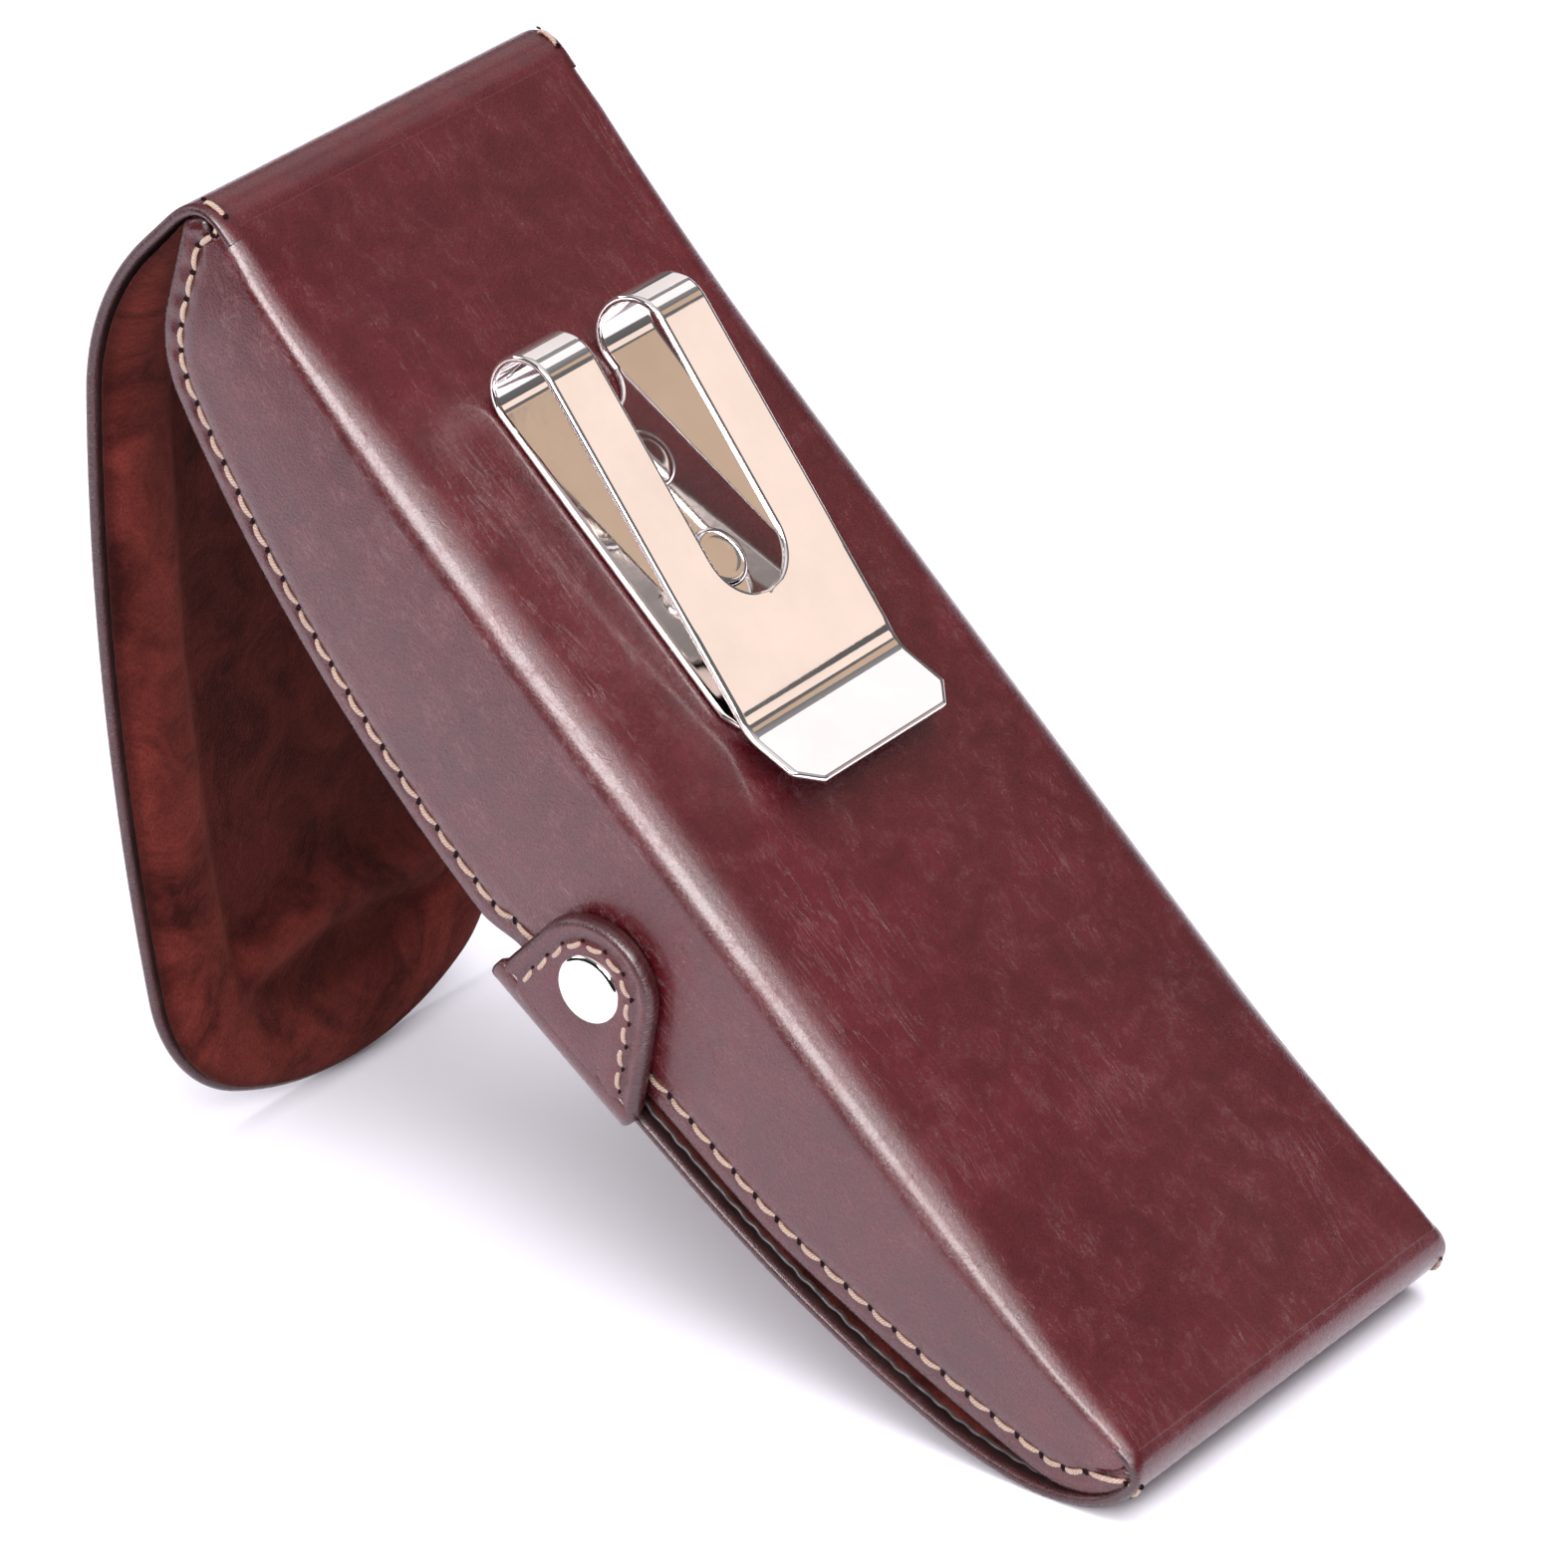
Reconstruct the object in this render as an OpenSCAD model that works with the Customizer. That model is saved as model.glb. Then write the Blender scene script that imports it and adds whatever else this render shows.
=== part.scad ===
// Leather eyeglasses case with a belt clip, standing on its lower end and its open lid.
// Each sub-part is drawn in the case's own axes and then stood up:
// X runs along the back panel from the hinge end, Y from the back panel to the front,
// and Z across the width. The origin of the finished part is on the floor, under its middle.

/* [Case] */
// Width across the two side walls
case_w = 59; // [56:0.5:64]
// Thickness of the leather
leather_t = 1.3; // [1:0.1:1.4]
// Thickness of the stiffening boards in the back and the side walls
board_t = 1.1; // [0.8:0.1:1.2]
// Thickness of the plush lining
lining_t = 0.8; // [0.5:0.1:1]
// Outer radius of the folds along the two long edges
fold_r = 3.5; // [3:0.5:4.5]

/* [Lid] */
// Thickness of the lid's board
lid_board_t = 0.8; // [0.6:0.1:0.8]
// Thickness of the lid's plush at its raised border
lid_plush_t = 1.1; // [0.8:0.1:1.1]
// Width of the plush border around the recess
border_w = 12; // [9:1:15]
// Length of the magnet bar
magnet_l = 38; // [30:1:42]
// Distance from the lid's tip to the magnet bar's middle
magnet_back = 20; // [17:1:24]

/* [Front flap] */
// Thickness of the flap's board
flap_board_t = 0.8; // [0.5:0.1:0.8]
// Thickness of the flap's lining
flap_lining_t = 0.4; // [0.3:0.1:0.4]

/* [Closing tabs] */
// Distance from the hinge end to the press stud
snap_u = 89.3; // [88:0.1:91]
// Distance from the back panel to the press stud
snap_d = 20.5; // [19.5:0.1:21]
// Radius of the tab's round end
tab_r = 8.3; // [7.5:0.1:8.5]
// Radius of the press stud's cap
cap_r = 4; // [3.5:0.1:4.5]

/* [Belt clip] */
// Width of the clip
clip_w = 26.5; // [24:0.5:30]
// Thickness of the clip's sheet steel
clip_t = 0.8; // [0.6:0.1:0.9]
// Distance from the hinge end to the middle of the rolled loops
loop_u = 35.5; // [33:0.5:38]
// Outer radius of the rolled loops
loop_r = 4.75; // [4.5:0.05:5]
// Width of the slot in the leaf
slot_w = 12; // [10:0.5:13]
// Radius of the rivet heads
rivet_r = 3.6; // [3:0.1:3.9]

/* [Stitching] */
// Distance from one stitch to the next
stitch_pitch = 3.5; // [3:0.1:5]
// Length of thread that shows in each stitch
stitch_l = 2.7; // [2:0.1:2.8]
// Diameter of the thread
thread_d = 0.7; // [0.5:0.1:0.8]

/* [Hidden] */
$fn = 64;
half_w = case_w / 2;
thread_h = 0.3;
gap = 0.05;

// Distance between the points of an outline
step = 2;

// Walks from a start [x, y, heading] along runs of [length, turn], and gives each point with its heading
function run_points(s, length, turn, step) =
    let (n = max(1, round(length / step)), r = turn == 0 ? 0 : length / (turn * PI / 180))
    [for (k = [1 : n]) let (t = turn * k / n)
        turn == 0 ?
            [s[0] + length * k / n * cos(s[2]), s[1] + length * k / n * sin(s[2]), s[2]] :
            [s[0] + r * (sin(s[2] + t) - sin(s[2])), s[1] - r * (cos(s[2] + t) - cos(s[2])), s[2] + t]];
function walk_on(s, runs, step, i = 0) =
    i == len(runs) ? [] :
    let (more = run_points(s, runs[i][0], runs[i][1], step))
    concat(more, walk_on(more[len(more) - 1], runs, step, i + 1));
function walk(s, runs, step = step) = concat([s], walk_on(s, runs, step));

// The path moved sideways, to the left of its heading
function beside(path, off) = [for (p = path) [p[0] - off * sin(p[2]), p[1] + off * cos(p[2]), p[2]]];
function flat(path) = [for (p = path) [p[0], p[1]]];
function back_to_front(path) = [for (k = [len(path) - 1 : -1 : 0]) path[k]];
function part_of(path, from, to) = [for (k = [from : to]) path[k]];
function last(path) = path[len(path) - 1];
function arc_points(c, r, from, to, n = 8) =
    [for (k = [0 : n]) let (a = from + (to - from) * k / n) [c[0] + r * cos(a), c[1] + r * sin(a)]];

// Rim of a side wall, from the hinge end to the lower end
rim_start = [0.2, 4.6, 63];
rim_runs = [[10.5, 0], [10.9, -44.4], [58.1, -18.6], [41.9, -12], [44.7, -8], [2.5, 0], [12.7, -66]];
rim = walk(rim_start, rim_runs);

// Outer face of the lower end and the front flap, from the back panel round to the flap's mouth
flap_start = [162.2, 0, 0];
end_r = 3.4;
flap_runs = [[end_r * PI / 2, 90], [6.7, 31], [3.8, 12], [6.4, 16], [10, 11], [14.6, 6], [21.7, 7], [31.4, 1]];
flap = walk(flap_start, flap_runs);

// Outer face of the open lid, from the leather hinge to the tip
hinge = [4, 6];
hinge_r = 6;
hinge_gap = 0.3;
lid_start = [hinge[0] - hinge_r, hinge[1] + 0.5, 92];
lid_runs = [[5, 0], [22.3, -42.3], [92.3, -16.5]];
lid = walk(lid_start, lid_runs);
lid_tip = last(lid);
lid_board_from = 5;
lid_plush_from = 11;
lid_w = case_w;

// The tongue outline of the lid: two corner arcs and a flatter arc across the tip
corner_r = 16;
tip_r = 50;
tip_depth = tip_r - sqrt(pow(tip_r - corner_r, 2) - pow(lid_w / 2 - corner_r, 2));
tongue_l = 150;

// How far the back panel slopes down, so that the lid's tip and the lower end share one floor
lean = -max([for (p = flap) atan2(p[1] - lid_tip[1], p[0] - lid_tip[0])]);
function across_floor(p) = p[0] * cos(lean) - p[1] * sin(lean);
drop = lid_tip[0] * sin(lean) + lid_tip[1] * cos(lean);
mid_x = (min([for (p = lid) across_floor(p)]) + max([for (p = flap) across_floor(p)])) / 2;

// Layers of the body
back_in = leather_t + board_t;
wall_in = half_w - leather_t - board_t;

// Fold line of the tabs
tab_turn = last(flap)[2] - 180;
fold_out = 3.1;
tab_gap = 0.7;
tab_layer = 1.2;
fold_at = flap[len(flap) - 8];
fold_mid = [fold_at[0] - fold_out * sin(fold_at[2]), fold_at[1] + fold_out * cos(fold_at[2])];

// Press stud parts
snap_post_r = 1.2;
stud_r = 1.85;
socket_r = 3.5;
flange_r = 3.2;
snap_play = 0.25;

// Belt clip path: round the loops and down the leaf
leaf_tilt = 9.9;
leaf_l = 40.6;
lip_l = 8.8;
lip_turn = 27.9;
plate_end = 77;
notch_w = 9.6;
notch_end = 40;
slot_end = 66.3;
loop_mid = [loop_u, -loop_r];
strip_r = loop_r - clip_t / 2;
loop_path = walk([loop_u, -clip_t / 2, 180], [[strip_r * PI * (180 + leaf_tilt) / 180, 180 + leaf_tilt]], 0.5);
leaf_path = walk(last(loop_path), [[leaf_l, 0], [1.2, -lip_turn], [lip_l, 0]], 0.6);
rivet_u = [47, 60];

// Stands the case up on its lower end and its lid
module stand() {
    translate([-mid_x, 0, drop]) rotate([0, lean, 0]) rotate([-90, 0, 0]) children();
}

// A side-view shape carried across the width
module across(from, to) {
    translate([0, 0, from]) linear_extrude(to - from) children();
}
module full_width(w) {
    across(-w / 2, w / 2) children();
}

// A side-view shape on one wall only, between two distances from the middle; side is -1 or 1
module on_wall(side, from, to) {
    across(min(side * from, side * to), max(side * from, side * to)) children();
}

// Side view of a layer that follows a path, between two distances to its left
module layer(path, from, to) {
    polygon(concat(flat(beside(path, from)), back_to_front(flat(beside(path, to)))));
}

// Side view of the body, with its rim pulled in
module body_side(inset = 0) {
    hinge_side = inset > 0 ? [] : arc_points(hinge, hinge_r - leather_t - hinge_gap, 268, 205);
    low_side = inset > 0 ? [] : arc_points([flap_start[0], end_r], end_r - leather_t - 0.1, -15, -88);
    polygon(concat([[hinge[0], inset]], hinge_side, flat(beside(rim, -inset)), low_side,
        [[flap_start[0], inset]]));
}

// Section across the body: a back panel with two walls, rounded at the folds
module channel_section(half, back, r, depth) {
    translate([-half, back + r]) square([2 * half, depth]);
    translate([-half + r, back]) square([2 * (half - r), r + 1]);
    for (side = [-1, 1])
        translate([side * (half - r), back + r]) circle(r);
}
module channel(half, back, r, t) {
    rotate([0, 90, 0]) linear_extrude(170) difference() {
        channel_section(half, back, r, 40);
        channel_section(half - t, back + t, r - t, 50);
    }
}

// Plan of the lid, in the plane of its tip, pulled in all round
module tongue(inset) {
    mid = lid_w / 2 - corner_r;
    translate([-tongue_l, -lid_w / 2 + inset]) square([tongue_l - tip_depth, lid_w - 2 * inset]);
    for (side = [-1, 1])
        translate([-tip_depth, side * mid]) circle(corner_r - inset);
    intersection() {
        translate([-tip_r, 0]) circle(tip_r - inset, $fn = 128);
        polygon([[-tip_r, 0], [-tip_r + 2 * (tip_r - tip_depth), -2 * mid],
            [-tip_r + 2 * (tip_r - tip_depth), 2 * mid]]);
    }
}
module tongue_prism(inset) {
    translate([lid_tip[0], lid_tip[1], 0]) rotate([0, 0, lid_tip[2]]) rotate([90, 0, 0])
        linear_extrude(200, center = true) tongue(inset);
}

// A layer of the lid, between two depths under its outer face
module lid_layer(from, to, inset, skip = 0) {
    intersection() {
        full_width(lid_w - 2 * inset)
            layer(part_of(lid, skip, len(lid) - 1), -from, -to);
        tongue_prism(inset);
    }
}

// Puts children at a point of a path, X along it and Y to its left
module at_point(p) {
    translate([p[0], p[1], 0]) rotate([0, 0, p[2]]) children();
}

// Side view of one row of stitches along a path
module stitches(path) {
    for (p = path)
        translate([p[0], p[1]]) rotate(p[2]) translate([-stitch_l / 2, -thread_d / 2])
            square([stitch_l, thread_d]);
}

module shell_leather() {
    color([0.36, 0.13, 0.15]) stand() difference() {
        intersection() {
            channel(half_w, 0, fold_r, leather_t);
            full_width(case_w) body_side();
        }
        snap_holes(snap_post_r + 0.05);
        rivet_holes();
    }
}

// Holes through both walls for the press stud rivets
module snap_holes(r) {
    translate([snap_u, snap_d, 0]) cylinder(h = case_w + 2, r = r, center = true);
}
module rivet_holes() {
    for (u = rivet_u)
        translate([u, 0, 0]) rotate([90, 0, 0]) cylinder(h = 20, r = 1.55, center = true);
}

module back_board() {
    color([0.6, 0.55, 0.45]) stand() difference() {
        translate([hinge[0] + 3, leather_t, -(half_w - fold_r)])
            cube([flap_start[0] - hinge[0] - 6, board_t, case_w - 2 * fold_r]);
        rivet_holes();
    }
}

module wall_board(side) {
    color([0.6, 0.55, 0.45]) stand() difference() {
        intersection() {
            on_wall(side, wall_in, half_w - leather_t) body_side(2);
            translate([0, fold_r, -half_w]) cube([170, 40, case_w]);
        }
        snap_holes(snap_post_r + 0.05);
    }
}
module left_wall_board() { wall_board(-1); }
module right_wall_board() { wall_board(1); }

module shell_lining() {
    color([0.4, 0.16, 0.14]) stand() difference() {
        intersection() {
            channel(wall_in, back_in, 1.5, lining_t);
            full_width(case_w) body_side(1.2);
        }
        snap_holes(snap_post_r + 0.05);
        for (u = rivet_u)
            translate([u, back_in - 1, 0]) rotate([-90, 0, 0]) cylinder(h = 1.5, r = 4.2);
    }
}

// The stitches stop where the tab covers the rim
module wall_stitching(side) {
    seam = beside(walk(rim_start, rim_runs, stitch_pitch), -2.2);
    color([0.88, 0.8, 0.69]) stand() on_wall(side, half_w, half_w + thread_h)
        stitches([for (k = [1 : len(seam) - 2]) if (seam[k][0] < 78 || seam[k][0] > 106) seam[k]]);
}
module left_wall_stitching() { wall_stitching(-1); }
module right_wall_stitching() { wall_stitching(1); }

module flap_leather() {
    color([0.36, 0.13, 0.15]) stand() full_width(case_w) layer(flap, 0, leather_t);
}

flap_first = 9;
flap_last = len(flap) - 1;
keeper_from = flap_last - 10;
keeper_to = flap_last - 6;

module flap_board() {
    color([0.6, 0.55, 0.45]) stand() difference() {
        full_width(case_w - 2)
            layer(part_of(flap, flap_first, flap_last - 1), leather_t, leather_t + flap_board_t);
        full_width(magnet_l + 2 * gap)
            layer(part_of(flap, keeper_from, keeper_to), leather_t - 0.5, leather_t + flap_board_t + 0.5);
    }
}

module keeper_plate() {
    color([0.7, 0.7, 0.72]) stand() full_width(magnet_l)
        layer(part_of(flap, keeper_from, keeper_to), leather_t, leather_t + flap_board_t);
}

module flap_lining() {
    under = leather_t + flap_board_t;
    color([0.4, 0.16, 0.14]) stand() full_width(case_w - 1.6)
        layer(part_of(flap, flap_first + 2, flap_last), under, under + flap_lining_t);
}

// One row across the flap's mouth
module flap_stitching() {
    at = flap[flap_last - 1];
    count = floor((case_w - 14) / stitch_pitch / 2);
    color([0.88, 0.8, 0.69]) stand() at_point(at)
        for (k = [-count : count])
            translate([-thread_d, -thread_h, k * stitch_pitch - stitch_l / 2])
                cube([thread_d, thread_h, stitch_l]);
}

// Turns a part drawn along +Z so that it points out of one wall at the press stud
module at_snap(side) {
    translate([snap_u, snap_d, 0]) mirror([0, 0, side < 0 ? 1 : 0]) children();
}

module snap_stud(side) {
    color([0.78, 0.78, 0.8]) stand() at_snap(side) difference() {
        union() {
            translate([0, 0, half_w]) cylinder(h = 0.3, r = flange_r);
            translate([0, 0, half_w]) cylinder(h = 1.1, r = stud_r - 0.15);
            translate([0, 0, half_w + 1.1]) cylinder(h = 0.5, r = stud_r);
        }
        translate([0, 0, half_w - 1]) cylinder(h = 5, r = snap_post_r);
    }
}
module left_snap_stud() { snap_stud(-1); }
module right_snap_stud() { snap_stud(1); }

module stud_rivet(side) {
    head = half_w - leather_t - board_t - lining_t;
    color([0.78, 0.78, 0.8]) stand() at_snap(side) {
        translate([0, 0, head - 0.4]) cylinder(h = 0.4, r = flange_r);
        translate([0, 0, head - 0.2]) cylinder(h = half_w + 1.5 - head + 0.2, r = snap_post_r);
    }
}
module left_stud_rivet() { stud_rivet(-1); }
module right_stud_rivet() { stud_rivet(1); }

// Plan of a closing tab, on the wall: a round end that widens to the fold line
module tab_plan(inset = 0) {
    r = tab_r - inset;
    mid = [snap_u, snap_d];
    foot = [snap_u + 13.9 - inset * 1.3, snap_d + 7.5];
    reach = norm(foot - mid);
    lean_in = atan2(foot[1] - mid[1], foot[0] - mid[0]) - acos(r / reach);
    difference() {
        union() {
            translate(mid) circle(r);
            polygon([mid, [mid[0] - r, mid[1]], [mid[0] - r, mid[1] + 20],
                [foot[0] + 5, mid[1] + 20], foot, mid + r * [cos(lean_in), sin(lean_in)]]);
        }
        above_fold(inset * 0.3);
    }
}

// Everything past the fold line, in side view
module above_fold(off) {
    translate(fold_mid) rotate(tab_turn) translate([-40, -off]) square([80, 40]);
}

module tab_leather(side) {
    inner = half_w + tab_gap + tab_layer;
    color([0.36, 0.13, 0.15]) stand() difference() {
        on_wall(side, inner, inner + tab_layer) tab_plan();
        snap_holes_tab(snap_post_r + 0.1);
    }
}
module left_tab_leather() { tab_leather(-1); }
module right_tab_leather() { tab_leather(1); }

module snap_holes_tab(r) {
    translate([snap_u, snap_d, 0]) cylinder(h = 2 * half_w + 20, r = r, center = true);
}

module tab_backing(side) {
    color([0.3, 0.1, 0.12]) stand() difference() {
        on_wall(side, half_w + tab_gap, half_w + tab_gap + tab_layer) tab_plan(0.3);
        snap_holes_tab(socket_r + gap);
    }
}
module left_tab_backing() { tab_backing(-1); }
module right_tab_backing() { tab_backing(1); }

module tab_stitching(side) {
    r = tab_r - 2;
    out = half_w + tab_gap + 2 * tab_layer;
    steps = 5;
    color([0.88, 0.8, 0.69]) stand() on_wall(side, out, out + thread_h) {
        for (k = [0 : steps])
            translate([snap_u, snap_d]) rotate(180 + k * 150 / steps)
                translate([r - thread_d / 2, -stitch_l / 2]) square([thread_d, stitch_l]);
        stitches([[snap_u - r, snap_d + 4, 90], [snap_u - r, snap_d + 7.4, 90]]);
        stitches([for (k = [0 : 1]) [snap_u + r + 0.6 + k * 1.8, snap_d + 1 + k * 2.9, 58]]);
    }
}
module left_tab_stitching() { tab_stitching(-1); }
module right_tab_stitching() { tab_stitching(1); }

// A quarter turn of leather from the flap's face round to the tab
module tab_fold(side) {
    far = snap_u + 13.9;
    near = snap_u - tab_r;
    color([0.36, 0.13, 0.15]) stand() intersection() {
        translate([fold_mid[0], fold_mid[1], side * half_w]) rotate([0, 0, tab_turn]) difference() {
            rotate([0, 90, 0]) cylinder(h = 60, r = fold_out, center = true);
            rotate([0, 90, 0]) cylinder(h = 62, r = fold_out - tab_layer, center = true);
            translate([-32, -10, -10]) cube([64, 10, 20]);
            translate([-32, -1, side < 0 ? 0 : -10]) cube([64, 10, 10]);
        }
        translate([near, 0, -50]) cube([far - near, 60, 100]);
    }
}
module left_tab_fold() { tab_fold(-1); }
module right_tab_fold() { tab_fold(1); }

// Flat cap with a rounded edge, and the post that holds the socket
module snap_cap(side) {
    face = half_w + tab_gap + 2 * tab_layer;
    color([0.85, 0.85, 0.87]) stand() at_snap(side) {
        translate([0, 0, face]) rotate_extrude()
            union() {
                square([cap_r, 0.3]);
                translate([0, 0.3]) square([cap_r - 0.3, 0.3]);
                translate([cap_r - 0.3, 0.3]) circle(0.3);
            }
        translate([0, 0, face - tab_layer]) cylinder(h = tab_layer + 0.1, r = snap_post_r);
    }
}
module left_snap_cap() { snap_cap(-1); }
module right_snap_cap() { snap_cap(1); }

module snap_socket(side) {
    low = half_w + 0.3 + 0.15;
    top = half_w + tab_gap + tab_layer;
    color([0.78, 0.78, 0.8]) stand() at_snap(side) difference() {
        translate([0, 0, low]) cylinder(h = top - low, r = socket_r);
        translate([0, 0, low - 1]) cylinder(h = top - low + 1 - 0.1, r = stud_r + snap_play);
    }
}
module left_snap_socket() { snap_socket(-1); }
module right_snap_socket() { snap_socket(1); }

module clip_plate() {
    color([0.86, 0.84, 0.82]) stand() difference() {
        translate([loop_u, -clip_t, -clip_w / 2]) cube([plate_end - loop_u, clip_t, clip_w]);
        translate([loop_u - 1, -2, -notch_w / 2]) cube([notch_end - loop_u + 1 - notch_w / 2, 4, notch_w]);
        translate([notch_end - notch_w / 2, 2, 0]) rotate([90, 0, 0]) cylinder(h = 4, r = notch_w / 2);
        rivet_holes();
    }
}

module clip_loops() {
    color([0.86, 0.84, 0.82]) stand() for (side = [-1, 1])
        on_wall(side, slot_w / 2, clip_w / 2) layer(loop_path, -clip_t / 2, clip_t / 2);
}

// The leaf runs back over the plate, with its slot, crease and flared lip
module clip_leaf() {
    color([0.88, 0.8, 0.75]) stand() difference() {
        full_width(clip_w) layer(leaf_path, -clip_t / 2, clip_t / 2);
        translate([loop_u - 5, -15, -slot_w / 2]) cube([slot_end - slot_w / 2 - loop_u + 5, 20, slot_w]);
        translate([slot_end - slot_w / 2, 5, 0]) rotate([90, 0, 0]) cylinder(h = 20, r = slot_w / 2);
    }
}

// Two domed rivets through the plate, the back panel and its board
module clip_rivets() {
    dome_h = 1.1;
    dome_r = (rivet_r * rivet_r + dome_h * dome_h) / (2 * dome_h);
    color([0.86, 0.84, 0.82]) stand() for (u = rivet_u)
        translate([u, -clip_t, 0]) rotate([90, 0, 0]) {
            intersection() {
                translate([0, 0, dome_h - dome_r]) sphere(dome_r, $fn = 96);
                cylinder(h = dome_h + 1, r = rivet_r + 1);
            }
            translate([0, 0, -clip_t - back_in - 0.5]) cylinder(h = clip_t + back_in + 0.6, r = 1.5);
        }
}

module rivet_washers() {
    color([0.75, 0.72, 0.65]) stand() for (u = rivet_u)
        translate([u, back_in, 0]) rotate([-90, 0, 0]) difference() {
            cylinder(h = 0.4, r = 4);
            translate([0, 0, -1]) cylinder(h = 3, r = 1.55);
        }
}

// The bend of leather that the lid swings on
module hinge_bend(outer, inner, from, to, w) {
    color([0.36, 0.13, 0.15]) stand() full_width(w) polygon(concat(
        arc_points(hinge, outer, from, to, 24), back_to_front(arc_points(hinge, inner, from, to, 24))));
}
module hinge_leather() { hinge_bend(hinge_r, hinge_r - leather_t, 269, 176, case_w); }
module hinge_lining() { hinge_bend(hinge_r - leather_t - 0.1, hinge_r - leather_t - 0.8, 262, 178, 2 * wall_in - 2); }

module lid_leather() { color([0.36, 0.13, 0.15]) stand() lid_layer(0, leather_t, 0); }
module lid_board() {
    color([0.6, 0.55, 0.45]) stand()
        lid_layer(leather_t, leather_t + lid_board_t, 1.2, lid_board_from);
}

magnet_t = 1.5;
magnet_d = 5;
magnet_at = lid[len(lid) - 1 - round(magnet_back / step)];

// Plush with a raised border, a shallow recess and a bump over the magnet bar
module lid_lining() {
    under = leather_t + lid_board_t;
    color([0.5, 0.22, 0.19]) stand() difference() {
        union() {
            difference() {
                lid_layer(under, under + lid_plush_t, 1.6, lid_plush_from);
                lid_layer(under + lid_plush_t / 2, under + 5, border_w, lid_plush_from + 4);
            }
            at_point(magnet_at) translate([-magnet_d / 2 - 1, -under - magnet_t - 0.6, -magnet_l / 2 - 1])
                cube([magnet_d + 2, magnet_t + 0.5, magnet_l + 2]);
        }
        magnet_block(gap);
    }
}
module magnet_block(room = 0) {
    at_point(magnet_at) translate([-magnet_d / 2 - room, -leather_t - lid_board_t - magnet_t - 0.1 - room,
        -magnet_l / 2 - room]) cube([magnet_d + 2 * room, magnet_t + 2 * room, magnet_l + 2 * room]);
}
module magnet_bar() { color([0.35, 0.35, 0.37]) stand() magnet_block(); }

shell_leather();
back_board();
left_wall_board();
right_wall_board();
shell_lining();
left_wall_stitching();
right_wall_stitching();
flap_leather();
flap_board();
keeper_plate();
flap_lining();
flap_stitching();
left_snap_stud();
right_snap_stud();
left_stud_rivet();
right_stud_rivet();
clip_plate();
clip_rivets();
rivet_washers();
clip_loops();
clip_leaf();
hinge_leather();
hinge_lining();
lid_leather();
lid_board();
lid_lining();
magnet_bar();
left_tab_fold();
left_tab_leather();
left_tab_backing();
left_tab_stitching();
left_snap_cap();
left_snap_socket();
right_tab_fold();
right_tab_leather();
right_tab_backing();
right_tab_stitching();
right_snap_cap();
right_snap_socket();
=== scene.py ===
"""Looks for the leather eyeglasses case. Lengths in the case's own axes are in millimetres."""
import math

import bpy
import numpy as np
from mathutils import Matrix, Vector

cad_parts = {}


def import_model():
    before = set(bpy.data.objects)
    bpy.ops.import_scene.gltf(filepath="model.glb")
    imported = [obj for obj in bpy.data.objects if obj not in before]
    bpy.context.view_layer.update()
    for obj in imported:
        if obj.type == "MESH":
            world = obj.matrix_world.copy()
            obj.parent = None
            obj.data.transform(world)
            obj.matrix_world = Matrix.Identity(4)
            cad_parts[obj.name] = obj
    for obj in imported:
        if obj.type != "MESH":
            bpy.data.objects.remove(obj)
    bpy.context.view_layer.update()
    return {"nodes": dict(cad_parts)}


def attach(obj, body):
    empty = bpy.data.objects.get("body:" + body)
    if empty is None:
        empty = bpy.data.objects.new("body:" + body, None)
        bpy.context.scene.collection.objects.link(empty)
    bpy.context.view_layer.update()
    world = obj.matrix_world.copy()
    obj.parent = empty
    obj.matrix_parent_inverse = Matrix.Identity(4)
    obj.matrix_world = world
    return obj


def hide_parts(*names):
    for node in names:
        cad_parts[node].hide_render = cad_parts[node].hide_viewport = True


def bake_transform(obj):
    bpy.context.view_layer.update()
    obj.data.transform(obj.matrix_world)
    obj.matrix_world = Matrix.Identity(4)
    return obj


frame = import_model()
rng = np.random.default_rng(7)

# The case's own axes: u along the back panel from the hinge end, w across, d from the back to the front.
LEAN = math.radians(42.42)
MIDDLE = 51.2876
DROP = 118.5
HALF = 29.5
LEATHER = 1.3
HINGE = (4.0, 6.0)
LOW_U = 162.2
SNAP = (89.3, 20.5)
STITCH = 3.5
SEAM_IN = 2.2

RIM = ((0.2, 4.6, 63), [(10.5, 0), (10.9, -44.4), (58.1, -18.6), (41.9, -12), (44.7, -8), (2.5, 0), (12.7, -66)])
FLAP = ((162.2, 0, 0), [(3.4 * math.pi / 2, 90), (6.7, 31), (3.8, 12), (6.4, 16), (10, 11), (14.6, 6), (21.7, 7), (31.4, 1)])
LID = ((-2.0, 6.5, 92), [(5, 0), (22.3, -42.3), (92.3, -16.5)])


# ---------------------------------------------------------------- paths and surfaces
def world(u, w, d):
    """Points in the row frame, in metres."""
    u, w, d = np.broadcast_arrays(np.asarray(u, float), np.asarray(w, float), np.asarray(d, float))
    x = u * math.cos(LEAN) - d * math.sin(LEAN) - MIDDLE
    z = DROP - u * math.sin(LEAN) - d * math.cos(LEAN)
    return np.stack([x, w, z], -1) / 1000


def walk(start, runs, step=0.7):
    """Follows arcs and straights: rows of u, d and heading in radians."""
    rows = [(start[0], start[1], math.radians(start[2]))]
    for length, turn in runs:
        x, y, h = rows[-1]
        n, turn = max(1, round(length / step)), math.radians(turn)
        for k in range(1, n + 1):
            t = turn * k / n
            if turn == 0:
                rows.append((x + length * k / n * math.cos(h), y + length * k / n * math.sin(h), h))
            else:
                r = length / turn
                rows.append((x + r * (math.sin(h + t) - math.sin(h)), y - r * (math.cos(h + t) - math.cos(h)), h + t))
    return np.array(rows)


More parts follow.
